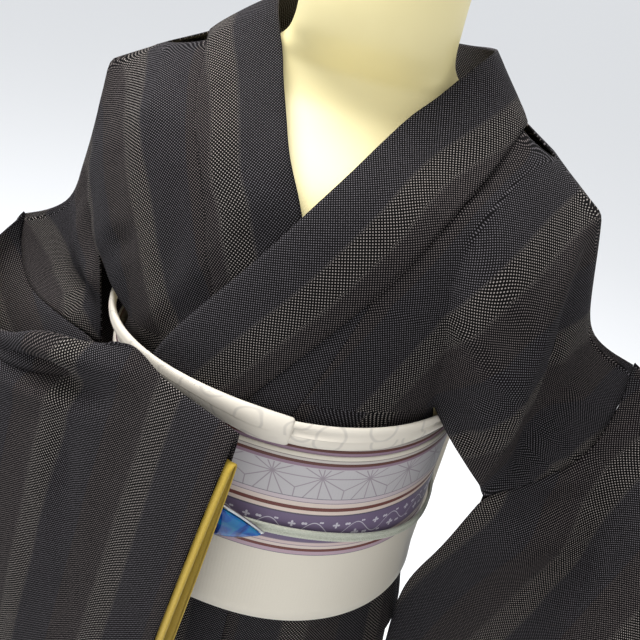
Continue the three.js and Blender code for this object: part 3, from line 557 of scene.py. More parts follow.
def linear(code):
    """An sRGB hex colour as linear values."""
    parts = [int(code[i:i + 2], 16) / 255 for i in (1, 3, 5)]
    return [c / 12.92 if c <= 0.04045 else ((c + 0.055) / 1.055)**2.4 for c in parts] + [1.0]


def add(tree, kind, *values, inputs=None, stops=(), between_stops="LINEAR", **settings):
    """A new node with its settings, and its inputs as values, colour codes, nodes or their outputs."""
    node = tree.nodes.new("ShaderNode" + kind)
    for key, value in settings.items():
        setattr(node, key, value)
    for key, value in {**dict(enumerate(values)), **(inputs or {})}.items():
        if isinstance(value, bpy.types.Node):
            value = value.outputs[0]
        if isinstance(value, bpy.types.NodeSocket):
            tree.links.new(value, node.inputs[key])
        else:
            node.inputs[key].default_value = linear(value) if isinstance(value, str) else value
    for share, _ in stops[2:]:
        node.color_ramp.elements.new(share)
    if stops:
        node.color_ramp.interpolation = between_stops
        for element, (share, code) in zip(node.color_ramp.elements, stops):
            element.position = share
            element.color = linear(code)
    return node


def finish_of(name, roughness, **constants):
    """A new material with its shader, whose constant finish values are set on the shader itself."""
    material = bpy.data.materials.new(name)
    material.use_nodes = True
    tree = material.node_tree
    shader = tree.nodes["Principled BSDF"]
    shader.inputs["Roughness"].default_value = roughness
    for key, value in constants.items():
        shader.inputs[key.replace("_", " ")].default_value = value
    return material, tree, shader


def weave_sizes(tree):
    """Sizes across and along the cloth in metres, from the piece's own layout."""
    uv = add(tree, "UVMap", uv_map="weave")
    parts = add(tree, "SeparateXYZ", inputs={0: uv})
    return parts.outputs[0], parts.outputs[1]


def speckle(tree, u, v, pitch):
    """Dots set in staggered rows: 1 in the middle of a dot, 0 between them."""
    turns = 2 * math.pi / (pitch * MM)
    across = add(tree, "Math", add(tree, "Math", u, turns, operation="MULTIPLY"), operation="COSINE")
    along = add(tree, "Math", add(tree, "Math", v, turns, operation="MULTIPLY"), operation="COSINE")
    both = add(tree, "Math", across, along, operation="MULTIPLY")
    return add(tree, "MapRange", inputs={"Value": both, "From Min": 0.38, "From Max": 0.82},
               interpolation_type="SMOOTHSTEP")


def striped_wool_silk():
    """Dull woven silk: fine pale dots on near-black, larger and paler in the bright stripes."""
    material, tree, shader = finish_of("dotted_striped_silk_weave", 0.9, Sheen_Weight=0.0,
                                       Specular_IOR_Level=0.06)
    u, v = weave_sizes(tree)
    share = add(tree, "Math", add(tree, "Math", u, 1 / (STRIPE_REPEAT * MM), operation="MULTIPLY"),
                operation="FRACT")
    ground = add(tree, "ValToRGB", share,
                 stops=[(0.0, "#111011"), (0.38, "#111011"), (0.42, "#0c0b0b"), (0.63, "#0c0b0b"),
                        (0.68, "#100e0f"), (0.97, "#100e0f")])
    dots = add(tree, "ValToRGB", share,
               stops=[(0.0, "#6d696d"), (0.38, "#6d696d"), (0.42, "#9a928d"), (0.63, "#9a928d"),
                      (0.68, "#79716f"), (0.97, "#776f6d")])
    bright = add(tree, "ValToRGB", share,
                 stops=[(0.39, "#000000"), (0.42, "#ffffff"), (0.63, "#ffffff"), (0.66, "#000000")])
    large = speckle(tree, u, v, DOT_PITCH)
    fine = speckle(tree, u, v, FINE_PITCH)
    mask = add(tree, "Math", add(tree, "Math", large, bright, operation="MULTIPLY"),
               add(tree, "Math", fine, add(tree, "Math", 1.0, bright, operation="SUBTRACT"),
                   operation="MULTIPLY"), operation="ADD")
    uneven = add(tree, "TexNoise",
                 inputs={"Scale": 900.0, "Detail": 1.0, "Vector": add(tree, "UVMap", uv_map="weave")})
    strength = add(tree, "Math", mask,
                   add(tree, "Math", add(tree, "Math", uneven, 1.3, operation="MULTIPLY"), 0.3,
                       operation="ADD"), operation="MULTIPLY")
    colour = add(tree, "Mix", strength, inputs={6: ground.outputs[0], 7: dots.outputs[0]},
                 data_type="RGBA").outputs[2]
    here = add(tree, "TexCoord")
    patch = add(tree, "TexNoise",
                inputs={"Scale": 9.0, "Detail": 2.0, "Vector": here.outputs["Object"]})
    worn = add(tree, "MapRange", inputs={"Value": patch, "To Min": 0.85, "To Max": 1.15})
    shaded = add(tree, "HueSaturation", inputs={"Color": colour, "Value": worn.outputs[0]})
    tree.links.new(shaded.outputs[0], shader.inputs["Base Color"])
    bump = add(tree, "Bump", inputs={"Height": mask, "Strength": 0.3, "Distance": 0.2 * MM})
    tree.links.new(bump.outputs[0], shader.inputs["Normal"])
    return material


# Bands of the sash from its lower edge up, as (height in millimetres, colour)
SASH_HEIGHT = 167
PLAIN = "#dad2c2"
SASH_BANDS = [
    (0, PLAIN), (66.6, "#77717a"), (67.3, "#b39aa5"), (70.5, "#6a3a33"), (73.3, "#d2c3ba"), (76.0, "#8d7f88"),
    (76.7, "#cbb7b3"), (79.2, "#857984"), (80.0, "#6b5c77"), (105.4, "#544e5a"), (106.4, "#d6c4b8"),
    (110, "#6a3a33"), (113.2, "#d2c2b7"), (117.0, "#857984"), (117.9, "#c3b5b8"), (121, "#77727b"),
    (121.8, "#b9b5b6"), (148.8, "#8f7686"), (151.6, "#5d3830"), (154.6, "#c2bab3"), (156.2, "#8d8680"),
    (156.8, "#ddd5c6")]
STAR_SPACING = 36.5
STAR_ROW = 140.7                # height of the row of stars above the sash's lower edge
STAR_BAND = (122, 148.6)
SCROLL_BAND = (80.5, 105)
INNER_SHIFT = -10.5             # the inner turn stands this much higher than the outer one


def line_mask(tree, distance, half_width):
    """1 on a line and 0 away from it, with a soft edge."""
    return add(tree, "MapRange",
               inputs={"Value": distance, "From Min": half_width * 1.7 * MM,
                       "From Max": half_width * 0.5 * MM}, interpolation_type="SMOOTHSTEP")


def hemp_leaf_lines(tree, x, y, spacing, half_width):
    """The traditional hemp-leaf pattern: a net of triangles with each middle joined to its corners."""
    row = spacing * MM * math.sqrt(3) / 2
    total = None
    for angle in (90, 30, 150):
        n = (math.cos(math.radians(angle)), math.sin(math.radians(angle)))
        across = add(tree, "Math", add(tree, "Math", x, n[0], operation="MULTIPLY"),
                     add(tree, "Math", y, n[1], operation="MULTIPLY"), operation="ADD")
        whole = add(tree, "Math",
                    add(tree, "Math", across,
                        add(tree, "Math",
                            add(tree, "Math", add(tree, "Math", across, row, operation="DIVIDE"),
                                operation="ROUND"), row, operation="MULTIPLY"), operation="SUBTRACT"),
                    operation="ABSOLUTE")
        edge = line_mask(tree, whole, half_width)
        aside = add(tree, "Math", add(tree, "Math", x, n[1], operation="MULTIPLY"),
                    add(tree, "Math", y, n[0], operation="MULTIPLY"), operation="SUBTRACT")
        index = add(tree, "Math", add(tree, "Math", aside, spacing * MM / 2, operation="DIVIDE"),
                    operation="ROUND")
        gap = add(tree, "Math",
                  add(tree, "Math", aside,
                      add(tree, "Math", index, spacing * MM / 2, operation="MULTIPLY"),
                      operation="SUBTRACT"), operation="ABSOLUTE")
        phase = add(tree, "Math", across, add(tree, "Math", index, row, operation="MULTIPLY"),
                    operation="ADD")
        along = add(tree, "Math", add(tree, "Math", phase, row, -row, operation="WRAP"),
                    operation="ABSOLUTE")
        drawn = add(tree, "Math", along, row * 2 / 3, operation="LESS_THAN")
        spoke = add(tree, "Math", line_mask(tree, gap, half_width), drawn, operation="MULTIPLY")
        both = add(tree, "Math", edge, spoke, operation="MAXIMUM")
        total = both if total is None else add(tree, "Math", total, both, operation="MAXIMUM")
    return total


def between(tree, value, low, high):
    """1 where the value lies between low and high, 0 elsewhere."""
    return add(tree, "Math", add(tree, "Math", value, low, operation="GREATER_THAN"),
               add(tree, "Math", value, high, operation="LESS_THAN"), operation="MULTIPLY")


def small_scroll(tree, x, y, pitch, height):
    """A running stem with small four-petalled flowers and leaves, plain and generic."""
    turn = add(tree, "Math", x, 2 * math.pi / (pitch * MM), operation="MULTIPLY")
    stem_y = add(tree, "Math", add(tree, "Math", turn, operation="SINE"), height * 0.24 * MM,
                 operation="MULTIPLY")
    stem = line_mask(tree,
                     add(tree, "Math", add(tree, "Math", y, stem_y, operation="SUBTRACT"),
                         operation="ABSOLUTE"), 0.35)
    total = stem
    for shift, up, size, petals in ((0.25, -0.16, 3.4, 2.0), (0.75, 0.16, 2.9, 2.0), (0.02, 0.2, 2.2, 1.0),
                                    (0.5, -0.2, 2.2, 1.0), (0.4, 0.26, 1.6, 1.0), (0.9, -0.26, 1.6, 1.0)):
        near = add(tree, "Math", add(tree, "Math", x, shift * pitch * MM, operation="SUBTRACT"),
                   pitch * MM / 2, -pitch * MM / 2, operation="WRAP")
        rise = add(tree, "Math", y, up * height * MM, operation="SUBTRACT")
        angle = add(tree, "Math", rise, near, operation="ARCTAN2")
        lobe = add(tree, "Math",
                   add(tree, "Math", add(tree, "Math", angle, petals, operation="MULTIPLY"),
                       operation="COSINE"), operation="ABSOLUTE")
        reach = add(tree, "Math", add(tree, "Math", lobe, 0.25, operation="ADD"), size * 0.8 * MM,
                    operation="MULTIPLY")
        radius = add(tree, "Math",
                     add(tree, "Math", add(tree, "Math", near, near, operation="MULTIPLY"),
                         add(tree, "Math", rise, rise, operation="MULTIPLY"), operation="ADD"),
                     operation="SQRT")
        total = add(tree, "Math", total, add(tree, "Math", radius, reach, operation="LESS_THAN"),
                    operation="MAXIMUM")
    return total


def sash_brocade():
    """Woven brocade: fine crosswise ribs, cream ground, bands that run along the cloth."""
    material, tree, shader = finish_of("banded_silk_brocade", 0.55, Sheen_Weight=0.12,
                                       Sheen_Roughness=0.4, Specular_IOR_Level=0.35)
    u, v = weave_sizes(tree)
    rise = add(tree, "Math", v, MM, operation="DIVIDE")
    stops = [(height / SASH_HEIGHT, code) for height, code in SASH_BANDS]
    bands = add(tree, "ValToRGB", add(tree, "Math", rise, SASH_HEIGHT, operation="DIVIDE"), stops=stops,
                between_stops="CONSTANT")
    star_y = add(tree, "Math", v, STAR_ROW * MM, operation="SUBTRACT")
    lines = add(tree, "Math", hemp_leaf_lines(tree, u, star_y, STAR_SPACING, 0.38),
                between(tree, rise, *STAR_BAND), operation="MULTIPLY")
    with_stars = add(tree, "Mix", lines, inputs={6: bands.outputs[0], 7: "#968b92"},
                     data_type="RGBA").outputs[2]
    scroll_y = add(tree, "Math", v, sum(SCROLL_BAND) / 2 * MM, operation="SUBTRACT")
    scroll = add(tree, "Math", small_scroll(tree, u, scroll_y, 34, 26),
                 between(tree, rise, *SCROLL_BAND), operation="MULTIPLY")
    with_scroll = add(tree, "Mix", scroll, inputs={6: with_stars, 7: "#c9c4cc"}, data_type="RGBA").outputs[2]
    ribs = add(tree, "TexWave",
               inputs={"Vector": add(tree, "UVMap", uv_map="weave"),
                       "Scale": 1 / (20 * 1.3 * MM) * 6.2832 / 2, "Distortion": 0.6, "Detail": 1.0,
                       "Detail Scale": 2.0}, bands_direction="X", wave_profile="SIN")
    yarn = add(tree, "TexNoise",
               inputs={"Scale": 1400.0, "Detail": 2.0, "Vector": add(tree, "UVMap", uv_map="weave")})
    tone = add(tree, "MapRange", inputs={"Value": yarn, "To Min": 0.93, "To Max": 1.05})
    shaded = add(tree, "HueSaturation", inputs={"Color": with_scroll, "Value": tone.outputs[0]})
    tree.links.new(shaded.outputs[0], shader.inputs["Base Color"])
    height = add(tree, "Math", add(tree, "Math", ribs, 0.4, operation="MULTIPLY"),
                 add(tree, "Math", yarn, 0.5, operation="MULTIPLY"), operation="ADD")
    raised = add(tree, "Math", height,
                 add(tree, "Math", add(tree, "Math", lines, scroll, operation="MAXIMUM"), 0.8,
                     operation="MULTIPLY"), operation="ADD")
    bump = add(tree, "Bump", inputs={"Height": raised, "Strength": 0.35, "Distance": 0.2 * MM})
    tree.links.new(bump.outputs[0], shader.inputs["Normal"])
    return material


def figured_satin():
    """Thin figured silk: cream, softly shining, with faint grey woven rings."""
    material, tree, shader = finish_of("figured_cream_satin", 0.48, Sheen_Weight=0.15,
                                       Sheen_Roughness=0.35, Specular_IOR_Level=0.4)
    uv = add(tree, "UVMap", uv_map="weave")
    cells = add(tree, "TexVoronoi", inputs={"Vector": uv, "Scale": 30.0, "Randomness": 0.55},
                feature="F1", voronoi_dimensions="2D")
    ring = add(tree, "Math", add(tree, "Math", cells.outputs["Distance"], 0.3, operation="SUBTRACT"),
               operation="ABSOLUTE")
    faint = add(tree, "MapRange",
                inputs={"Value": ring, "From Min": 0.05, "From Max": 0.01, "To Max": 0.5},
                interpolation_type="SMOOTHSTEP")
    colour = add(tree, "Mix", faint, inputs={6: "#dad2c4", 7: "#b3ada5"}, data_type="RGBA").outputs[2]
    tree.links.new(colour, shader.inputs["Base Color"])
    yarn = add(tree, "TexNoise", inputs={"Scale": 1200.0, "Detail": 2.0, "Vector": uv})
    bump = add(tree, "Bump", inputs={"Height": yarn, "Strength": 0.25, "Distance": 0.15 * MM})
    tree.links.new(bump.outputs[0], shader.inputs["Normal"])
    return material


def plain_lining():
    """Plain mustard silk with a fine cross rib."""
    material, tree, shader = finish_of("mustard_silk_lining", 0.6, Sheen_Weight=0.2,
                                       Sheen_Roughness=0.4, Specular_IOR_Level=0.35)
    uv = add(tree, "UVMap", uv_map="weave")
    yarn = add(tree, "TexNoise", inputs={"Scale": 900.0, "Detail": 2.0, "Vector": uv})
    colour = add(tree, "Mix", yarn, inputs={6: "#a08325", 7: "#bb9f38"}, data_type="RGBA").outputs[2]
    tree.links.new(colour, shader.inputs["Base Color"])
    bump = add(tree, "Bump", inputs={"Height": yarn, "Strength": 0.3, "Distance": 0.15 * MM})
    tree.links.new(bump.outputs[0], shader.inputs["Normal"])
    return material


def silk_braid():
    """Glossy silk strands with a silvery thread laid in."""
    material, tree, shader = finish_of("silver_green_silk_braid", 0.42, Sheen_Weight=0.2,
                                       Sheen_Roughness=0.3, Specular_IOR_Level=0.5)
    here = add(tree, "TexCoord")
    yarn = add(tree, "TexNoise",
               inputs={"Scale": 900.0, "Detail": 2.0, "Vector": here.outputs["Object"]})
    colour = add(tree, "Mix", yarn, inputs={6: "#a3a797", 7: "#d3d4c4"}, data_type="RGBA").outputs[2]
    tree.links.new(colour, shader.inputs["Base Color"])
    return material


def blue_glass():
    """Thick enamel-like glass over a dark back: deep blue with green and violet clouds, very glossy."""
    material, tree, shader = finish_of("cloudy_blue_glass", 0.06, IOR=1.5, Coat_Weight=0.2,
                                       Coat_Roughness=0.03)
    here = add(tree, "TexCoord")
    cloud = add(tree, "TexNoise",
                inputs={"Scale": 60.0, "Detail": 3.0, "Distortion": 1.2,
                        "Vector": here.outputs["Object"]})
    colour = add(tree, "ValToRGB", cloud,
                 stops=[(0.3, "#071a50"), (0.45, "#07357a"), (0.56, "#08529a"), (0.68, "#0f7196"),
                        (0.82, "#2c3a8a")])
    tree.links.new(colour.outputs[0], shader.inputs["Base Color"])
    return material


def polished_silver():
    """Polished silver, slightly uneven from hand finishing."""
    material, tree, shader = finish_of("polished_silver_rim", 0.2, Metallic=1.0)
    here = add(tree, "TexCoord")
    wear = add(tree, "TexNoise",
               inputs={"Scale": 300.0, "Detail": 3.0, "Vector": here.outputs["Object"]})
    colour = add(tree, "Mix", wear, inputs={6: "#b9bcbd", 7: "#e3e5e4"}, data_type="RGBA").outputs[2]
    tree.links.new(colour, shader.inputs["Base Color"])
    rough = add(tree, "MapRange", inputs={"Value": wear, "To Min": 0.12, "To Max": 0.3})
    tree.links.new(rough.outputs[0], shader.inputs["Roughness"])
    return material


def moulded_shell():
    """Smooth moulded shell, cream yellow, with a soft dull gloss."""
    material, tree, shader = finish_of("cream_moulded_shell", 0.42, Specular_IOR_Level=0.45)
    here = add(tree, "TexCoord")
    cloud = add(tree, "TexNoise",
                inputs={"Scale": 12.0, "Detail": 3.0, "Vector": here.outputs["Object"]})
    colour = add(tree, "Mix", cloud, inputs={6: "#e9d99b", 7: "#f3e7b4"}, data_type="RGBA").outputs[2]
    tree.links.new(colour, shader.inputs["Base Color"])
    grain = add(tree, "TexNoise",
                inputs={"Scale": 500.0, "Detail": 2.0, "Vector": here.outputs["Object"]})
    bump = add(tree, "Bump", inputs={"Height": grain, "Strength": 0.08, "Distance": 0.1 * MM})
    tree.links.new(bump.outputs[0], shader.inputs["Normal"])
    return material


def powder_coat():
    """Steel with a pale grey powder coat: a fine orange-peel texture, satin."""
    material, tree, shader = finish_of("pale_powder_coated_steel", 0.45)
    here = add(tree, "TexCoord")
    peel = add(tree, "TexNoise",
               inputs={"Scale": 350.0, "Detail": 2.0, "Vector": here.outputs["Object"]})
    colour = add(tree, "Mix", peel, inputs={6: "#cfd0ce", 7: "#dcddda"}, data_type="RGBA").outputs[2]
    tree.links.new(colour, shader.inputs["Base Color"])
    bump = add(tree, "Bump", inputs={"Height": peel, "Strength": 0.15, "Distance": 0.2 * MM})
    tree.links.new(bump.outputs[0], shader.inputs["Normal"])
    return material


# The sash set, the cuff linings and the form, as in the part
RING_COLUMNS = 160
SASH_OUT = 7
SASH_PROFILE = [(945, SASH_OUT + 0.6), (965, SASH_OUT + 0.2), (985, SASH_OUT), (1010, SASH_OUT),
                (1030, SASH_OUT),
                (1055, SASH_OUT), (1075, SASH_OUT), (1090, SASH_OUT), (1100, SASH_OUT - 0.3),
                (1104, SASH_OUT - 0.9), (1105.6, SASH_OUT - 2)]
INNER_TURN = [(1094, SASH_OUT - 2.3), (1104, SASH_OUT - 2.5), (1112, SASH_OUT - 2.8)]
# The scarf's two ends: by angle round the body, the roll's middle, its half height and half depth
SCARF_LEFT = Table("a z high deep", [
    [-3.2, 1123, 8, 3.4], [-2.2, 1125, 7, 3.2], [-1.3, 1129.5, 6.2, 3], [-0.7, 1130, 6.4, 3.1],
    [-0.25, 1127.5, 8, 3.6], [0, 1123.5, 11, 4.2], [0.12, 1122, 12.3, 4.6], [0.26, 1121.8, 11.8, 4.6],
    [0.298, 1121.8, 11, 4], [0.306, 1121.8, 8.5, 2]])
SCARF_RIGHT = Table("a z high deep", [
    [0.24, 1121.5, 9, 3.2], [0.4, 1122, 9.6, 3.6], [0.8, 1125, 9.6, 3.8], [1.15, 1129, 7.6, 3.4],
    [1.5, 1129, 5.6, 3], [2.2, 1125, 7, 3.2], [3.1, 1123, 8, 3.4]])
SCARF_OUT = 6.6
CORD_Z = 1037
CORD_DROP = 22                  # the cord hangs this much lower at the sides
CORD_OUT = 10.3
DRUM_HALF = 148
DRUM_MIDDLE = (170, 1010)
DRUM_LOOP = [
    [138, 890], [137.8, 940], [138.4, 1040], [140, 1108], [147, 1142], [160, 1156], [176, 1150],
    [192, 1118], [203, 1060], [206, 1000], [200, 930], [186, 882], [170, 866], [152, 868]]
TAIL_HALF = 146
TAIL = [[137.6, 798], [137.6, 840], [137.4, 880], [136.4, 925], [132.7, 948], [129.9, 985],
        [129.3, 1012]]
CLASP = {"x": 5, "z": 1037, "half": 33, "high": 12}
CUFF_TOP = 0.045
FORM_INSET = [
    [640, 26, 40, 24, 0], [720, 20, 34, 20, 0], [800, 16, 31, 17, 0], [860, 24, 32, 18, 0],
    [910, 24, 31, 16, 0], [955, 22, 30, 14, 0], [1010, 10, 23, 6, 0], [1080, 7, 18, 4, 0],
    [1140, 7, 14, 4, 0], [1180, 7, 13, 4, 0], [1220, 14, 13, 5, 0], [1250, 20, 13, 5, 2],
    [1270, 26, 13, 6, 4], [1284, 26, 13, 7, 8], [1300, 6, 12, 7, 9], [1318, 3, 11, 7, 9]]
NECK = [
    [1337, 82, 36, 54, 14], [1350, 64, 42, 52, 10], [1364, 58, 50, 53, 5], [1384, 57, 54, 54, 1],
    [1410, 57, 55, 55, 0], [1442, 57, 55, 55, -3]]
CAP_LEVELS = [(0.3, -9), (0.3, -6), (1.2, -3), (7, -3), (9, -4), (10, -7), (10, -30)]


def ring_point(angle, z, out):
    half = BODY(z, "half")
    face = np.where(np.cos(angle) >= 0, -1, 1)
    return on_body(half * np.sin(angle) * SIDE_SHARE, z, face, out)


def ring_grid(profile):
    """Rows of the profile by angles round the body; the first and last columns meet at the back."""
    angles = np.linspace(math.pi, 3 * math.pi, RING_COLUMNS + 1)[None, :]
    rows = np.array(profile, float)
    return ring_point(angles, rows[:, :1], rows[:, 1:])


def cuff_grid(name):
    side = SIDES[name]
    share = CUFF_OPENING / SLEEVE_DEPTH
    layers = np.linspace(share, CUFF_TOP, 24)
    t = np.concatenate([layers, layers[::-1]])[None, :]
    front = (np.arange(48) < 24)[None, :, None]
    rims = np.array([[0.93, 0, 3], [0.955, 0, 3], [0.98, 0, 3], [1, 1.6, 2.4], [1, 4.2, 0.8], [1, 6.0, 0.9],
                     [1, 6.6, 2.2]])
    s = rims[:, :1] + 0 * t
    first = sleeve_point(side, s, t + 0 * s, True)
    second = sleeve_point(side, s, t + 0 * s, False)
    p = np.where(front, first, second)
    inward = unit((first + second) / 2 - p)
    end = side["sleeve"](1, "fold_x fold_y")
    before = side["sleeve"](0.96, "fold_x fold_y")
    out = unit(np.array([side["sign"] * (end[0] - before[0]), end[1] - before[1], 0]))
    return p + inward * rims[:, 2, None, None] + out * rims[:, 1, None, None]


def drum_grid():
    """The drum knot: a closed loop of sash from side to side."""
    loop = np.array(DRUM_LOOP + DRUM_LOOP[:1], float)
    at = np.concatenate([[0], np.cumsum(np.linalg.norm(np.diff(loop, axis=0), axis=1))])
    extended = np.concatenate([[loop[-2]], loop, [loop[1]]])
    key = np.concatenate([[at[-2] - at[-1]], at, [at[-1] + at[1]]])
    curve = Table("at y z", np.concatenate([key[:, None], extended], 1))
    y, z = curve(np.linspace(0, at[-1], 72), "y z")
    t = np.linspace(-1, 1, 60)[:, None]
    pinch = 1 - 0.06 * np.abs(t)**4
    deep = np.maximum(y - DRUM_MIDDLE[0], 0) * (pinch - 1)
    return join_axes(t * DRUM_HALF, y + deep, mix(DRUM_MIDDLE[1], z, pinch))


def strip_grid(rows, half, count):
    rows = np.array(rows, float)
    z = np.linspace(rows[0, 1], rows[-1, 1], count)[:, None]
    y = Table("z y", rows[:, ::-1])(z, "y")
    return join_axes(np.linspace(-half, half, 48)[None, :], y, z)


def form_grid():
    """Rings of the form from its lower end up to the neck's top."""
    rows = []
    for z, side, front, back, drop in FORM_INSET:
        half, deep, behind, middle = BODY(z + drop, "half front back middle")
        rows.append([z, half - side, deep - front, behind - back, middle])
    curve = Table("z half front back middle", rows + NECK)
    z = np.concatenate([np.linspace(640, 1290, 60), np.linspace(1295, 1442, 40)])[:, None]
    return form_ring(z, *curve(z, "half front back middle"))


def form_ring(z, half, front, back, middle, grow=0.0):
    angle = np.linspace(0, 2 * math.pi, 97)[None, :]
    centre_x = NECK_CENTRE_X * soft(z, 1310, 1380)
    depth = np.where(np.cos(angle) >= 0, front, back)
    across = np.sign(np.sin(angle)) * np.abs(np.sin(angle))**0.95
    return join_axes(centre_x + across * (half + grow), middle - np.cos(angle) * (depth + grow), z)


def crease_points(points, count=40):
    """Points at even steps along a crease's line, and how far along it each lies, from 0 to 1."""
    points = np.array(points, float)
    lengths = np.concatenate([[0], np.cumsum(np.linalg.norm(np.diff(points, axis=0), axis=1))])
    at = np.linspace(0, lengths[-1], count)
    return np.stack([np.interp(at, lengths, points[:, k]) for k in range(3)], 1), at / lengths[-1]


def press(points, normals, creases):
    """How far each point moves along its normal: troughs and ridges with softer flanks."""
    moved = np.zeros(len(points))
    for width, depth, line in creases:
        path, share = crease_points(line)
        nearest = np.full(len(points), 1e9)
        along = np.zeros(len(points))
        for p, t in zip(path, share):
            distance = np.linalg.norm(points - p, axis=1)
            closer = distance < nearest
            nearest[closer] = distance[closer]
            along[closer] = t
        fade = np.clip(np.sin(math.pi * np.clip(along * 0.88 + 0.06, 0, 1)), 0, 1)**0.7
        uneven = 1 + 0.25 * np.sin(along * 9 + width)
        trough = np.exp(-(nearest / width)**2)
        flank = np.exp(-((nearest - 1.9 * width) / width)**2)
        moved += depth * fade * uneven * (trough - 0.35 * flank)
    return moved


def build_mesh(name, grids, weaves, flip=False, creases=(), rolled=0.0):
    """One mesh of several grids that meet, with the weave's sizes as its layout. Sizes turn to metres."""
    coords, layout, faces = [], [], []
    for grid, sizes in zip(grids, weaves):
        rows, columns = grid.shape[:2]
        first = sum(len(c) for c in coords)
        index = first + np.arange(rows * columns).reshape(rows, columns)
        quads = np.stack([index[:-1, :-1], index[:-1, 1:], index[1:, 1:], index[1:, :-1]], -1).reshape(-1, 4)
        faces.append(quads[:, ::-1] if flip else quads)
        coords.append(grid.reshape(-1, 3))
        layout.append(sizes.reshape(-1, 2))
    coords = np.concatenate(coords)
    layout = np.concatenate(layout)
    faces = np.concatenate(faces)
    mesh = bpy.data.meshes.new(name)
    mesh.from_pydata((coords * MM).tolist(), [], faces.tolist())
    corners = mesh.uv_layers.new(name="weave")
    loops = np.zeros(len(mesh.loops), int)
    mesh.loops.foreach_get("vertex_index", loops)
    corners.data.foreach_set("uv", (layout[loops] * MM).ravel())
    work = bmesh.new()
    work.from_mesh(mesh)
    bmesh.ops.remove_doubles(work, verts=work.verts, dist=0.05 * MM)
    work.normal_update()
    points = np.array([v.co[:] for v in work.verts]) / MM
    normals = np.array([v.normal[:] for v in work.verts])
    moved = press(points, normals, creases)
    for vertex, shift, normal in zip(work.verts, moved, normals):
        if vertex.is_boundary:
            shift = shift * 0.6 - rolled
        vertex.co = vertex.co + vertex.normal * (shift * MM)
    work.to_mesh(mesh)
    work.free()
    for polygon in mesh.polygons:
        polygon.use_smooth = True
    return mesh


def place(name, mesh, material, nodes, thickness=0.0, levels=1):
    """An object at the origin that stands in for the named nodes."""
    piece = bpy.data.objects.new(name, mesh)
    bpy.context.scene.collection.objects.link(piece)
    mesh.materials.append(material)
    if levels:
        smooth = piece.modifiers.new("smooth", "SUBSURF")
        smooth.levels = levels
        smooth.render_levels = levels
    if thickness:
        wall = piece.modifiers.new("wall", "SOLIDIFY")
        wall.thickness = thickness * MM
        wall.offset = -1
    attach(piece, "root")
    if nodes:
        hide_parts(*nodes)
    return piece


BODY_SHIFT = -10
SLEEVE_SHIFT = -17

wool = striped_wool_silk()
brocade = sash_brocade()
satin = figured_satin()
lining = plain_lining()
braid = silk_braid()
glass = blue_glass()
silver = polished_silver()
shell = moulded_shell()
paint = powder_coat()


# Creases by piece, in millimetres: width, depth (inwards below 0), points of the line
CREASES = {
    "left_body": [
        (7, -5, [(130, -70, 1149), (148, -85, 1168), (167, -88, 1176), (179, -83, 1178)]),
        (8, -4, [(140, -79, 1155), (153, -78, 1139), (168, -77, 1125)]),
        (12, -2.5, [(163, -76, 1246), (158, -90, 1213), (146, -87, 1175)]),
        (10, -10, [(193, -22, 1270), (196, -40, 1238), (199, -48, 1200), (203, -44, 1150), (200, -44, 1112)]),
        (5, 3, [(188, -8, 1291), (182, -31, 1278), (178, -55, 1259), (178, -67, 1243), (179, -74, 1224),
                (181, -80, 1195), (182, -81, 1178), (183, -70, 1140)]),
        (10, 3, [(194, -13, 1263), (202, -11, 1233), (212, -12, 1196), (222, -18, 1159)]),
        (12, -2.5, [(90, 108, 1255), (100, 108, 1190), (104, 100, 1130)]),
        (10, -3, [(150, 70, 1230), (160, 80, 1180), (166, 78, 1130)]),
        (22, -3, [(120, -92, 800), (126, -94, 500), (122, -92, 120)]),
        (20, -3, [(70, 124, 790), (76, 118, 450), (72, 112, 120)])],
    "right_body": [
        (12, -3, [(-150, -50, 1275), (-133, -76, 1234), (-116, -89, 1177)]),
        (9, -2, [(-83, -94, 1252), (-72, -105, 1218), (-65, -110, 1172)]),
        (8, -3, [(-135, -72, 1165), (-124, -84, 1190), (-110, -98, 1205)]),
        (10, -4, [(-190, -22, 1240), (-196, -28, 1200), (-204, -24, 1150)]),
        (12, -2.5, [(-86, 108, 1258), (-98, 108, 1196), (-108, 98, 1128)]),
        (10, -3, [(-150, 66, 1232), (-160, 74, 1186), (-164, 74, 1130)]),
        (20, -3, [(-84, 124, 790), (-78, 118, 450), (-82, 112, 120)])],
    "left_sleeve": [
        (9, -5, [(199, -68, 1070), (224, -51, 1083), (251, -33, 1088), (276, -25, 1084)]),
        (14, -4, [(272, -29, 1075), (289, -37, 1049), (301, -48, 1023)]),
        (14, 4, [(178, -50, 1003), (207, -62, 1044), (242, -51, 1053), (276, -38, 1044)]),
        (12, -4, [(168, -35, 939), (201, -47, 980), (234, -53, 1008), (267, -46, 1003)]),
        (18, -4, [(255, -48, 930), (262, -52, 840), (258, -50, 760)]),
        (16, -4, [(330, -85, 960), (335, -92, 850), (326, -92, 740)]),
        (16, -4, [(240, 34, 1040), (250, 30, 930), (250, 26, 820)])],
    "right_sleeve": [
        (9, -16, [(-222, -88, 1072), (-178, -116, 1084), (-142, -129, 1094), (-121, -136, 1091),
                  (-97, -141, 1097)]),
        (10, 8, [(-170, -116, 1104), (-138, -125, 1112), (-106, -133, 1121), (-78, -140, 1124)]),
        (9, -3.5, [(-125, -137, 1072), (-119, -142, 1043), (-111, -147, 1011), (-103, -151, 985)]),
        (12, 3, [(-141, -134, 1069), (-141, -138, 1030), (-136, -143, 987), (-119, -150, 938)]),
        (18, -2.5, [(-61, -148, 1115), (-60, -155, 1069), (-62, -160, 1006), (-66, -164, 936)]),
        (16, -4, [(-178, -122, 980), (-172, -128, 880), (-165, -132, 760)]),
        (16, -4, [(-232, -40, 1020), (-226, -36, 900), (-214, -30, 780)])],
    "sash_band": [
        (5, -1, [(-60, -130, 1070), (-52, -132, 1020), (-56, -132, 960)])],
}


